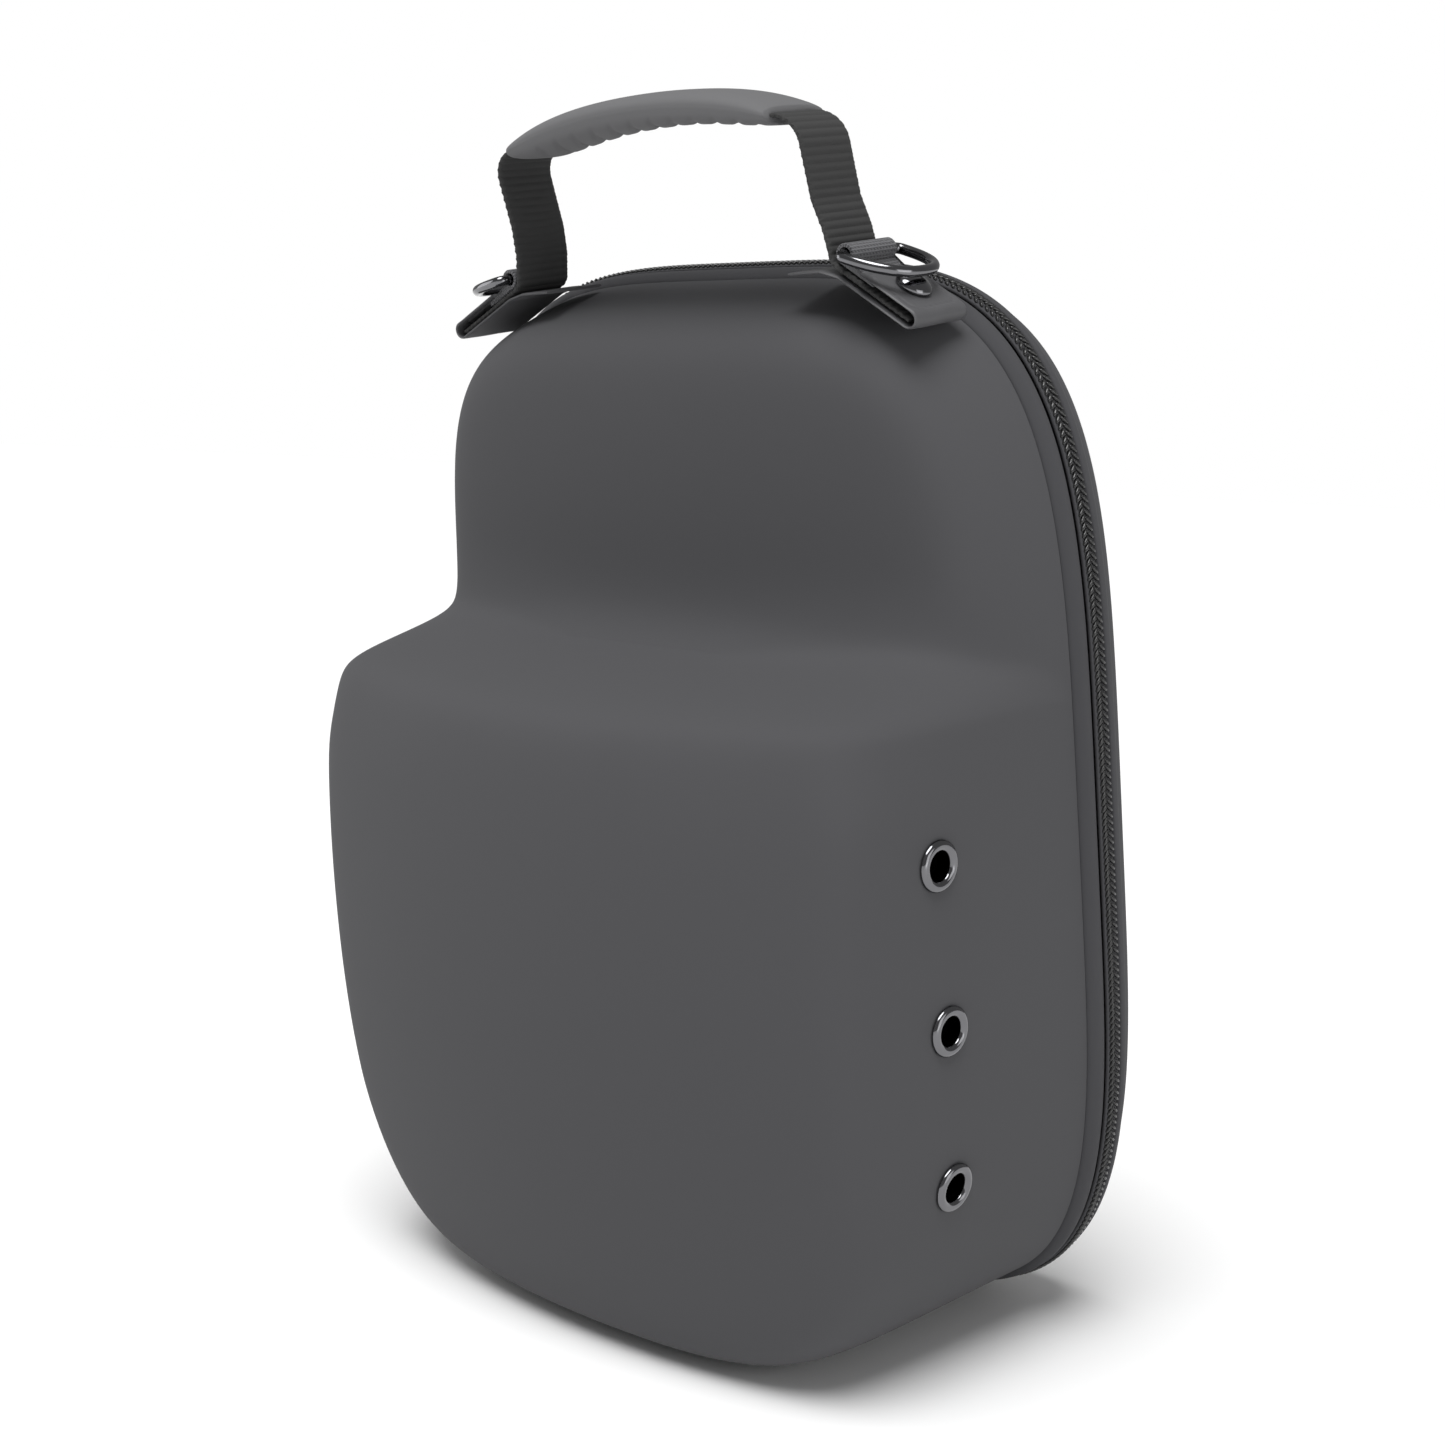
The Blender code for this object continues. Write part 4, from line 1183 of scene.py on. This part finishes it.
def grip_rubber(settings):
    """Matt grey moulded rubber."""
    made, graph, shader = new_material("grip_rubber")
    place = graph.node("ShaderNodeTexCoord").outputs["Object"]
    grain = place_group(graph, "Grain", {"Place": place, "Scale": 2600.0})
    wear = place_group(graph, "Wear", {"Place": place, "Scale": 90.0})
    low, high = shades(settings.rubber, 0.8, 1.2)
    graph.put(graph.tint(wear["Smudge"], low, high), shader.inputs["Base Color"])
    graph.put(bumped(graph, grain["Height"], RUBBER_GRAIN_DEPTH), shader.inputs["Normal"])
    graph.put(graph.mix(wear["Smudge"], 0.42, 0.6), shader.inputs["Roughness"])
    return made


def black_nickel(settings):
    """Dark polished nickel with faint smudges."""
    made, graph, shader = new_material("black_nickel")
    place = graph.node("ShaderNodeTexCoord").outputs["Object"]
    wear = place_group(graph, "Wear", {"Place": place, "Scale": 220.0})
    low, high = shades(settings.nickel, 0.8, 1.15)
    graph.put(graph.tint(wear["Smudge"], low, high), shader.inputs["Base Color"])
    dull = graph.mix(wear["Scratch"], settings.roughness * 0.7, settings.roughness * 1.6)
    graph.put(dull, shader.inputs["Roughness"])
    shader.inputs["Metallic"].default_value = 1.0
    return made


def stage_material(settings):
    made, graph, shader = new_material("stage_white")
    place = graph.node("ShaderNodeTexCoord").outputs["Object"]
    wear = place_group(graph, "Wear", {"Place": place, "Scale": 3.0})
    low, high = shades(settings.floor, 0.985, 1.0)
    graph.put(graph.tint(wear["Smudge"], low, high), shader.inputs["Base Color"])
    shader.inputs["Roughness"].default_value = 0.9
    return made


def material_for(name, maker, *values):
    return bpy.data.materials.get(name) or maker(*values)


# Operators


class CAPCASE_OT_shells(bpy.types.Operator):
    """Build the moulded front and back shells"""

    bl_idname = "capcase.shells"
    bl_label = "Shells"

    def execute(self, context):
        settings = context.scene.capcase_shell
        fabric = material_for("shell_fabric", shell_fabric, settings)
        outer = front_grid(FRONT_COLUMNS, FRONT_ROWS, 0.0, settings.crease_depth)
        inner = front_grid(FRONT_COLUMNS, FRONT_ROWS, SHELL_WALL, settings.crease_depth)
        front = cup_object("front_shell_fabric", outer, inner)
        cut_holes(front, self.drill())
        finish_piece(front, fabric, ["front_shell"], sharp=60)
        back = cup_object("back_shell_fabric", self.back_grid(0.0), self.back_grid(SHELL_WALL))
        finish_piece(back, fabric, ["back_shell"], sharp=60)
        return {"FINISHED"}

    def drill(self):
        """All the eyelets' bores as one cutter: straight rods through the side walls."""
        radius = EYELET_BORE + EYELET_BARREL + GAP
        reach = EYELET_RADIUS * 2
        rows, groups, start = [], [], 0
        for _, centre, axis in eyelet_places():
            rod = lathe([(radius, -reach), (radius, reach)], 48, centre, axis)
            rows.append(rod.reshape(-1, 3))
            caps = [np.arange(48)[::-1][None] + start, np.arange(48, 96)[None] + start]
            groups += [quads(2, 48, wrap_columns=True) + start, *caps]
            start += 96
        cutter = add_object("bores", in_row(np.concatenate(rows)), groups)
        face_outwards(cutter)
        return cutter

    def back_grid(self, skin):
        """A grid over the back shell, closest at the edge: a superellipse in from it."""
        share = np.linspace(-1, 1, BACK_COLUMNS)
        share = np.sign(share) * (1 - (1 - np.abs(share)) ** 3)
        x, z, _, inset = rim_grid(share, share, skin)
        edge = np.clip(1 - inset / (BACK_ROUND - skin), 0, 1)
        depth = (BACK_DEPTH - skin) * (1 - edge**BACK_ROUNDNESS) ** (1 / BACK_ROUNDNESS)
        return np.stack([x, BACK_START + depth, z], -1)


class CAPCASE_OT_zip(bpy.types.Operator):
    """Build the zip's two tapes and its coil"""

    bl_idname = "capcase.zip"
    bl_label = "Zip"

    def execute(self, context):
        settings = context.scene.capcase_zip
        tape = material_for("zip_tape", tape_fabric, settings)
        teeth = material_for("zip_teeth", coil_plastic, settings)
        front = self.tape_section(GAP, TAPE_DEPTH - GAP, *FRONT_TAPE_ARC)
        self.band("zip_tape_front_cloth", front, tape, "zip_tape", "zip_tape_front")
        rear = self.tape_section(REAR_TAPE_START, REAR_TAPE_DEPTH, *REAR_TAPE_ARC)
        self.band("zip_tape_rear_cloth", rear, tape, "zip_tape", "zip_tape_rear")
        inner = CHAIN_OUTWARD - CHAIN_THICKNESS
        low = CHAIN_OUTWARD - CHAIN_BED_SINK
        end = CHAIN_START + CHAIN_WIDTH
        bed = [(low, CHAIN_START), (low, end), (inner, end), (inner, CHAIN_START)]
        self.band("zip_chain_bed", bed, tape, "zip_tape", "zip_chain")
        coil = self.coil(settings.tooth_pitch)
        finish_piece(coil, teeth, ["zip_chain"])
        return {"FINISHED"}

    def tape_section(self, start, depth, out_start, out_end, bulge):
        """The outer side runs from one outward value to the other, raised by half a sine."""
        share = np.linspace(0, 1, 24)
        out = out_start + (out_end - out_start) * share + bulge * np.sin(pi * share)
        face = np.stack([out, start + depth * share], -1)
        return np.vstack([face, [(TAPE_INNER, start + depth), (TAPE_INNER, start)]])

    def band(self, name, corners, material, slot, node):
        points, uv = round_rim(smooth_section(corners, 40), 640)
        obj = grid_object(name, in_row(points), uv, wrap_rows=True, wrap_columns=True)
        finish_piece(obj, material, [node])

    def coil(self, pitch):
        """Two columns of slanted teeth round the rim, the second half a pitch on.

        A tooth is an ellipsoid, long across its slant, and each is set in the rim's
        own directions: ahead along the rim, out from it and back along y.
        """
        outline, _ = rim_outline(2000)
        total = arc_length(np.vstack([outline, outline[:1]]))[-1]
        count = int(round(total / pitch))
        even, normal = rim_outline(count * 2)
        ahead = np.stack([-normal[:, 1], normal[:, 0]], -1)
        around = np.linspace(0, 2 * pi, 8, endpoint=False)
        along = np.linspace(0.12 * pi, 0.88 * pi, 5)
        ring = np.stack(
            [
                TOOTH_WIDTH / 2 * np.sin(along)[:, None] * np.cos(around)[None],
                TOOTH_HEIGHT / 2 * np.sin(along)[:, None] * np.sin(around)[None],
                np.broadcast_to(TOOTH_LENGTH / 2 * -np.cos(along)[:, None], (5, 8)),
            ],
            -1,
        )
        points, faces, start = [], [], 0
        for column, (slant, shift) in enumerate(((TOOTH_SLANT, 0), (-TOOTH_SLANT, 1))):
            tooth = ring.reshape(-1, 3) @ np.array(Matrix.Rotation(slant, 3, "Y")).T
            middle_y = CHAIN_START + CHAIN_WIDTH * (0.27 + 0.46 * column)
            base, out, go = even[shift::2], normal[shift::2], ahead[shift::2]
            level = CHAIN_OUTWARD - TOOTH_SINK
            plane = (
                base[:, None]
                + go[:, None] * tooth[None, :, :1]
                + out[:, None] * (level + tooth[None, :, 1:2])
            )
            y = np.broadcast_to(middle_y + tooth[None, :, 2], plane.shape[:2])
            points.append(np.stack([plane[..., 0], y, plane[..., 1]], -1).reshape(-1, 3))
            side = quads(5, 8, wrap_columns=True)
            first = np.arange(count)[:, None, None] * 40 + start
            faces.append((side[None] + first).reshape(-1, 4))
            ends = np.stack([np.arange(8)[::-1], np.arange(32, 40)])
            faces.append((ends[None] + first).reshape(-1, 8))
            start += count * 40
        obj = add_object("zip_coil", in_row(np.concatenate(points)), faces)
        face_outwards(obj)
        return obj


class CAPCASE_OT_eyelets(bpy.types.Operator):
    """Build the vent eyelets in the side walls"""

    bl_idname = "capcase.eyelets"
    bl_label = "Eyelets"

    def execute(self, context):
        nickel = material_for("black_nickel", black_nickel, context.scene.capcase_metal)
        profile = self.profile()
        for name, centre, axis in eyelet_places():
            points = in_row(lathe(profile, 64, centre, axis))
            uv = turned_uv(profile, 64)
            obj = grid_object(f"{name}_metal", points, uv, wrap_rows=True, wrap_columns=True)
            finish_piece(obj, nickel, [name], sharp=50)
        return {"FINISHED"}

    def profile(self):
        """A rolled lip, half an ellipse over the wall, and a barrel through it."""
        shank = EYELET_BORE + EYELET_BARREL
        middle = (EYELET_RADIUS + EYELET_BORE) / 2
        half = (EYELET_RADIUS - EYELET_BORE) / 2
        turn = np.linspace(0, pi, 24)
        lip = np.stack([middle - half * np.cos(turn), GAP + (EYELET_LIP - GAP) * np.sin(turn)], -1)
        through = -SHELL_WALL - 2 * GAP
        barrel = [(shank, GAP), (shank, through), (EYELET_BORE, through)]
        return np.vstack([lip, barrel])


class CAPCASE_OT_tabs(bpy.types.Operator):
    """Build the folded leather tabs"""

    bl_idname = "capcase.tabs"
    bl_label = "Tabs"

    def execute(self, context):
        leather = material_for("tab_leather", tab_leather, context.scene.capcase_handle)
        for side, sign in SIDES.items():
            line = self.line(sign)
            section = strip_section(TAB_WIDTH, TAB_LEATHER, 120)
            lift = self.lift(arc_length(line)[-1])
            points, uv = swept_strip(line, section, lift_at=lift)
            obj = grid_object(
                f"tab_{side}_leather", handle_in_row(points), uv, wrap_columns=True, caps=True
            )
            finish_piece(obj, leather, [f"tab_{side}"], sharp=60)
        return {"FINISHED"}

    def line(self, sign):
        """Flat inner end, bend, slope, half turn at the tip and back over the top."""
        _, _, top = tab_layers()
        low = TAB_LEATHER / 2
        radius = (top - low) / 2
        flat_x = sign * np.linspace(TAB_BEND_X - TAB_INNER_LENGTH, TAB_BEND_X - TAB_BEND_REACH, 12)
        flat = np.stack([flat_x, np.full(12, TAB_BEND_Z + low)], -1)
        slope = on_tab(sign, np.linspace(TAB_BEND_REACH, TAB_LENGTH - radius, 40), low)
        turn = np.linspace(-pi / 2, pi / 2, 28)[1:-1]
        fold = on_tab(sign, TAB_LENGTH - radius + radius * np.cos(turn), 0.0)
        _, square = tab_axes(sign)
        fold = fold + np.multiply.outer(low + radius * (1 + np.sin(turn)), square)
        back = on_tab(sign, np.linspace(TAB_LENGTH - radius, TAB_LENGTH - TAB_LAP, 40), top)
        rough = evenly(np.vstack([flat, slope, fold, back]), 220)
        for _ in range(6):
            rough[1:-1] = (rough[:-2] + 2 * rough[1:-1] + rough[2:]) / 4
        return rough

    def lift(self, total):
        """A pressed stitch line round the rivet and soft crinkles over the fold.

        The line is a rounded square's ring of dents. The crinkles are crossed waves
        that fade away from the fold.
        """
        rivet = total - (rivet_along() - (TAB_LENGTH - TAB_LAP))
        half = TAB_WIDTH / 2 - STITCH_MARGIN

        def at(length, across):
            reach = ((length - rivet) / STITCH_REACH) ** 8 + (across / half) ** 8
            ring = np.exp(-(((reach ** (1 / 8) - 1) / 0.05) ** 2))
            stitch = 0.65 + 0.35 * np.cos((length + across) / STITCH_PITCH * 2 * pi)
            near = np.exp(-(((length - (total - TAB_LAP)) / CRINKLE_REACH) ** 2))
            wave = np.sin(across / CRINKLE_ACROSS + 3 * np.sin(length / CRINKLE_ALONG))
            return CRINKLE_HEIGHT * near * wave - STITCH_DEPTH * ring * stitch

        return at


class CAPCASE_OT_straps(bpy.types.Operator):
    """Build the webbing straps and the keepers round the rings' bars"""

    bl_idname = "capcase.straps"
    bl_label = "Webbing"

    def execute(self, context):
        settings = context.scene.capcase_handle
        web = self.cloth(settings, "webbing", settings.rib_pitch, STRAP_PICK)
        fine = self.cloth(settings, "keeper_webbing", KEEPER_RIB_PITCH, KEEPER_PICK)
        section = strip_section(STRAP_WIDTH, STRAP_THICKNESS, 72)
        for side, sign in SIDES.items():
            line = evenly(strap_line(sign), 420)
            for _ in range(4):
                line[1:-1] = (line[:-2] + 2 * line[1:-1] + line[2:]) / 4
            scallop = self.scallop(settings.rib_pitch / 2)
            ribs = self.ribs(settings.rib_pitch / 2)
            points, uv = swept_strip(line, section, scallop, ribs, handle_lean)
            obj = grid_object(
                f"strap_{side}_webbing", handle_in_row(points), uv, wrap_columns=True, caps=True
            )
            finish_piece(obj, web, [f"strap_{side}"], sharp=60)
            keeper = self.keeper(side, sign)
            finish_piece(keeper, fine, [f"keeper_{side}"], sharp=50)
        return {"FINISHED"}

    def cloth(self, settings, name, rib_pitch, pick):
        return material_for(name, webbing_fabric, settings, name, rib_pitch, pick)

    def scallop(self, pitch):
        """The strap's width, a little wider at each pick of the weave."""

        def at(length):
            return 1 - 0.03 + 0.03 * np.abs(np.cos(length / pitch * pi))

        return at

    def ribs(self, pitch):
        """Rounded ribs across the strap, sunk in from its face, with slanted yarns on them."""

        def at(length, across):
            rib = np.abs(np.sin(length / pitch * pi))
            yarn = np.cos((across + 0.6 * length) / YARN_PITCH * 2 * pi)
            return RIB_DEPTH * (rib - 1) + YARN_DEPTH * (yarn - 1)

        return at

    def keeper(self, side, sign):
        """A band folded round the bar: an outline and its bore, carried across in y."""
        centre = np.array(ring_bar_on_tab(sign))
        _, tail, _ = tab_layers()
        high, low = tail + KEEPER_THICKNESS / 2, tail - KEEPER_THICKNESS / 2
        lap = TAB_LENGTH - TAB_LAP
        radius = KEEPER_BORE + KEEPER_THICKNESS
        turn = np.linspace(radians(-20), radians(270), 80)
        loop = centre + radius * np.stack([np.cos(turn), np.sin(turn)], -1)
        tail_end = [(lap + KEEPER_LAP, low), (lap + KEEPER_LAP, high), (lap - 5 * GAP, high)]
        outer = evenly(np.vstack([loop, tail_end]), 144, closed=True)
        angle = np.unwrap(np.arctan2(outer[:, 1] - centre[1], outer[:, 0] - centre[0]))
        bore = centre + KEEPER_BORE * np.stack([np.cos(angle), np.sin(angle)], -1)
        length = arc_length(np.vstack([outer, outer[:1]]))
        half, edge = KEEPER_WIDTH / 2, KEEPER_EDGE
        inward = outer + (bore - outer) * edge / KEEPER_THICKNESS * 0.5
        rows = [
            (inward, -half),
            (outer, -half + edge),
            (outer, half - edge),
            (inward, half),
            (bore, half),
            (bore, -half),
        ]
        steps = [*np.linspace(-half + edge, half - edge, 12)]
        loops = [rows[0], *[(outer, y) for y in steps], rows[3], rows[4], rows[5]]
        points = []
        for outline, y in loops:
            place = on_tab(sign, outline[:, 0], 0.0) + on_tab(sign, 0.0, outline[:, 1])
            place = place - on_tab(sign, 0.0, 0.0)
            points.append(np.stack([place[:, 0], np.full(len(place), y), place[:, 1]], -1))
        points = np.stack(points)
        across = np.cumsum([0, edge, *np.full(11, steps[1] - steps[0]), edge, 1 * MM, 2 * half, 1 * MM])
        uv = np.stack(np.meshgrid(length, across), -1)
        name = f"keeper_{side}_webbing"
        return grid_object(name, handle_in_row(points), uv, wrap_rows=True, wrap_columns=True)


class CAPCASE_OT_grip(bpy.types.Operator):
    """Build the moulded rubber grip"""

    bl_idname = "capcase.grip"
    bl_label = "Grip"

    def execute(self, context):
        settings = context.scene.capcase_handle
        rubber = material_for("grip_rubber", grip_rubber, settings)
        points, uv = self.surface(settings.groove_pitch, settings.groove_depth)
        obj = grid_object("grip_rubber", handle_in_row(points), uv, wrap_columns=True, caps=True)
        finish_piece(obj, rubber, ["grip"], sharp=70)
        return {"FINISHED"}

    def surface(self, pitch, depth):
        """An arched superellipse bar, its ends drawn in, with slanted grooves underneath.

        The lift along it is one less the distance's power 2.2. A groove is a narrow bell
        across a slanted line, kept to the underside, and a fine ridge marks the parting
        line along each side.
        """
        share = np.sin(np.linspace(-pi / 2, pi / 2, 360))
        share = np.linspace(-1, 1, 360) * 0.75 + share * 0.25
        angle = np.linspace(0, 2 * pi, 128, endpoint=False)
        x = share * GRIP_LENGTH / 2
        lift = GRIP_ARCH * (1 - np.abs(share) ** 2.2)
        end = 1 - 0.45 * np.abs(share) ** 6
        tip = (1 - np.abs(share) ** 60) ** 0.5
        end = end * (0.86 + 0.14 * tip)
        wide = GRIP_WIDTH / 2 * (0.97 + 0.03 * tip)
        across = signed_power(np.cos(angle), 0.7)
        up = signed_power(np.sin(angle), 0.8)
        y = wide[:, None] * across[None]
        under = smooth_step(0.25, 0.6, -up)[None] * smooth_step(0.93, 0.80, np.abs(share))[:, None]
        slanted = (x[:, None] + 0.7 * y) / pitch
        groove = np.exp(-(((slanted - np.round(slanted)) / 0.16) ** 2))
        ridge = GRIP_RIDGE * np.exp(-((up / 0.06) ** 2))[None]
        dent = depth * groove * under - ridge
        thick = GRIP_THICKNESS / 2 * end[:, None] - dent * np.abs(up)[None]
        y = y + ridge * np.sign(across)[None]
        base = TAB_BEND_Z + HANDLE_RISE - GRIP_ARCH
        z = base + lift[:, None] + thick * up[None]
        points = np.stack([np.broadcast_to(x[:, None], z.shape), y - handle_lean(z), z], -1)
        around = np.linspace(0, 2 * (GRIP_WIDTH + GRIP_THICKNESS), 129)
        uv = np.stack(np.meshgrid(x, around, indexing="ij"), -1)
        return points, uv


class CAPCASE_OT_rings(bpy.types.Operator):
    """Build the D-rings and the rivets that they rest on"""

    bl_idname = "capcase.rings"
    bl_label = "Rings and rivets"

    def execute(self, context):
        nickel = material_for("black_nickel", black_nickel, context.scene.capcase_metal)
        for side, sign in SIDES.items():
            points, uv = tube(ring_line(sign, 160), RING_WIRE / 2, 24)
            name = f"d_ring_{side}"
            obj = grid_object(f"{name}_metal", handle_in_row(points), uv, True, True)
            finish_piece(obj, nickel, [name], body=f"ring_{side}")
            rivet = self.rivet(side, sign)
            finish_piece(rivet, nickel, [f"rivet_{side}"], sharp=50)
        return {"FINISHED"}

    def rivet(self, side, sign):
        """A dome turned from a quarter ellipse, with a flat rim under it."""
        _, _, top = tab_layers()
        seat = top + TAB_LEATHER / 2 + GAP
        _, square = tab_axes(sign)
        x, z = on_tab(sign, rivet_along(), seat)
        turn = np.linspace(radians(1), radians(90), 24)
        dome = np.stack([RIVET_RADIUS * np.sin(turn), RIVET_DOME * np.cos(turn) + RIVET_RIM], -1)
        profile = np.vstack([dome, [(RIVET_RADIUS * 0.97, 0)]])
        points = lathe(profile, 64, (x, 0, z), (square[0], 0, square[1]))
        uv = turned_uv(profile, 64)[: len(profile)]
        name = f"rivet_{side}_metal"
        return grid_object(name, handle_in_row(points), uv, wrap_columns=True, caps=True)


class CAPCASE_OT_slider(bpy.types.Operator):
    """Build the zip's slider with its hanging pull"""

    bl_idname = "capcase.slider"
    bl_label = "Slider"

    def execute(self, context):
        nickel = material_for("black_nickel", black_nickel, context.scene.capcase_metal)
        points, uv = self.surface()
        obj = grid_object("zip_slider_metal", in_row(points), uv, wrap_columns=True, caps=True)
        finish_piece(obj, nickel, ["zip_slider"], sharp=50)
        return {"FINISHED"}

    def surface(self):
        """A rounded bar from the body's top to the pull's end.

        Its thickness steps down from the body to the pull, and its width narrows at the
        joint and widens again to a rounded end: both are sums of smooth steps.
        """
        seat = rim_half_width(SLIDER_HEIGHT) + CHAIN_OUTWARD + GAP
        top, bottom = SLIDER_HEIGHT + SLIDER_LENGTH / 2, SLIDER_HEIGHT - SLIDER_LENGTH / 2
        z = np.linspace(top, bottom - PULL_LENGTH, 160)
        body = smooth_step(bottom - 0.5 * MM, bottom + 1.5 * MM, z)
        thicker = SLIDER_THICKNESS - PULL_THICKNESS
        thick = PULL_THICKNESS + thicker * body * smooth_step(top, top - PULL_END, z)
        neck = np.exp(-(((z - bottom + SLIDER_NECK) / SLIDER_NECK) ** 2))
        wide = SLIDER_WIDTH / 2 * (0.62 + 0.38 * body - 0.25 * neck)
        end = np.clip((z - (bottom - PULL_LENGTH)) / PULL_END, 0, 1)
        wide = wide * (0.6 + 0.4 * np.sqrt(1 - (1 - end) ** 2))
        section = strip_section(2.0, 1.0, 64)
        middle = CHAIN_START + CHAIN_WIDTH / 2
        y = middle + wide[:, None] * section[None, :, 0]
        x = -(seat + thick[:, None] * (0.5 + section[None, :, 1]))
        points = np.stack([x, y, np.broadcast_to(z[:, None], x.shape)], -1)
        around = np.linspace(0, 20 * MM, 65)
        uv = np.stack(np.meshgrid(z - z[-1], around, indexing="ij"), -1)
        return points, uv


class CAPCASE_OT_stage(bpy.types.Operator):
    """Set the floor, the lights and the camera"""

    bl_idname = "capcase.stage"
    bl_label = "Stage"

    def execute(self, context):
        settings = context.scene.capcase_stage
        self.floor(settings)
        self.lights(context, settings)
        self.camera(context)
        return {"FINISHED"}

    def floor(self, settings):
        """A flat square floor that reaches out to the horizon."""
        corners = FLOOR_REACH * np.array([(-1, -1, 0), (1, -1, 0), (1, 1, 0), (-1, 1, 0)])
        obj = add_object("stage_floor", corners, [np.arange(4)[None]])
        obj.data.materials.append(stage_material(settings))

    def lights(self, context, settings):
        """One wide sun, an area light at either side and a world that looks white."""
        world = context.scene.world or bpy.data.worlds.new("World")
        context.scene.world = world
        world.use_nodes = True
        graph = Graph(world.node_tree)
        seen = graph.node("ShaderNodeLightPath").outputs["Is Camera Ray"]
        background = world.node_tree.nodes["Background"]
        background.inputs["Color"].default_value = (1, 1, 1, 1)
        graph.put(graph.mix(seen, settings.ambient, 1.0), background.inputs["Strength"])
        sun = bpy.data.lights.new("overhead", "SUN")
        sun.energy = settings.overhead
        sun.angle = SUN_SPREAD
        self.place_light(context, sun, SUN_FROM)
        for name, place in SIDE_LIGHTS.items():
            light = bpy.data.lights.new(name, "AREA")
            light.size = SIDE_LIGHT_SIZE
            light.energy = settings.side_power
            self.place_light(context, light, place)

    def place_light(self, context, light, place):
        obj = bpy.data.objects.new(f"{light.name}_light", light)
        aim = Vector((0, 0, PLACE[2]))
        obj.location = place
        obj.rotation_euler = (aim - Vector(place)).to_track_quat("-Z", "Y").to_euler()
        context.scene.collection.objects.link(obj)

    def camera(self, context):
        """The photograph's camera: turned and raised about the case, rolled and shifted."""
        a, e, r = CAMERA_TURN, CAMERA_RISE, CAMERA_ROLL
        back = np.array([sin(a) * cos(e), -cos(a) * cos(e), sin(e)])
        level = np.array([cos(a), sin(a), 0])
        upright = np.cross(back, level)
        right = level * cos(r) + upright * sin(r)
        up = upright * cos(r) - level * sin(r)
        place = back * CAMERA_DISTANCE - right * CAMERA_SIDE - up * CAMERA_UP
        turn = TURN @ np.stack([right, up, back], -1)
        data = bpy.data.cameras.new("photo_camera")
        data.sensor_width = SENSOR
        data.lens = PHOTO_FOCAL / PHOTO_WIDTH * SENSOR
        data.clip_start = 0.01
        camera = bpy.data.objects.new("photo_camera", data)
        camera.matrix_world = Matrix.Translation(in_row(place)) @ Matrix(turn.tolist()).to_4x4()
        context.scene.collection.objects.link(camera)
        context.scene.camera = camera


# Panel and registration


class CAPCASE_PT_panel(bpy.types.Panel):
    """Sizes, colours and pieces of the case"""

    bl_label = "Cap Carrier Case"
    bl_idname = "CAPCASE_PT_panel"
    bl_space_type = "VIEW_3D"
    bl_region_type = "UI"
    bl_category = "Cap Case"

    def draw(self, context):
        groups = (
            ("capcase_shell", (CAPCASE_OT_shells,)),
            ("capcase_zip", (CAPCASE_OT_zip, CAPCASE_OT_slider)),
            ("capcase_handle", (CAPCASE_OT_tabs, CAPCASE_OT_straps, CAPCASE_OT_grip)),
            ("capcase_metal", (CAPCASE_OT_eyelets, CAPCASE_OT_rings)),
            ("capcase_stage", (CAPCASE_OT_stage,)),
        )
        for name, operators in groups:
            box = self.layout.box()
            settings = getattr(context.scene, name)
            for key in settings.bl_rna.properties.keys():
                if key not in ("rna_type", "name"):
                    box.prop(settings, key)
            for operator in operators:
                box.operator(operator.bl_idname)


SETTINGS = {
    "capcase_shell": ShellSettings,
    "capcase_zip": ZipSettings,
    "capcase_handle": HandleSettings,
    "capcase_metal": MetalSettings,
    "capcase_stage": StageSettings,
}
CLASSES = (
    CAPCASE_OT_shells,
    CAPCASE_OT_zip,
    CAPCASE_OT_eyelets,
    CAPCASE_OT_tabs,
    CAPCASE_OT_straps,
    CAPCASE_OT_grip,
    CAPCASE_OT_rings,
    CAPCASE_OT_slider,
    CAPCASE_OT_stage,
    CAPCASE_PT_panel,
)


def register():
    for name, settings in SETTINGS.items():
        bpy.utils.register_class(settings)
        setattr(bpy.types.Scene, name, bpy.props.PointerProperty(type=settings))
    for made in CLASSES:
        bpy.utils.register_class(made)


def unregister():
    for made in reversed(CLASSES):
        bpy.utils.unregister_class(made)
    for name, settings in SETTINGS.items():
        delattr(bpy.types.Scene, name)
        bpy.utils.unregister_class(settings)


def main():
    """Builds every piece and the stage."""
    register()
    bpy.context.scene.view_settings.view_transform = "Standard"
    bpy.ops.capcase.shells()
    bpy.ops.capcase.zip()
    bpy.ops.capcase.eyelets()
    bpy.ops.capcase.tabs()
    bpy.ops.capcase.straps()
    bpy.ops.capcase.grip()
    bpy.ops.capcase.rings()
    bpy.ops.capcase.slider()
    bpy.ops.capcase.stage()
    bpy.context.view_layer.update()


if __name__ == "__main__":
    main()
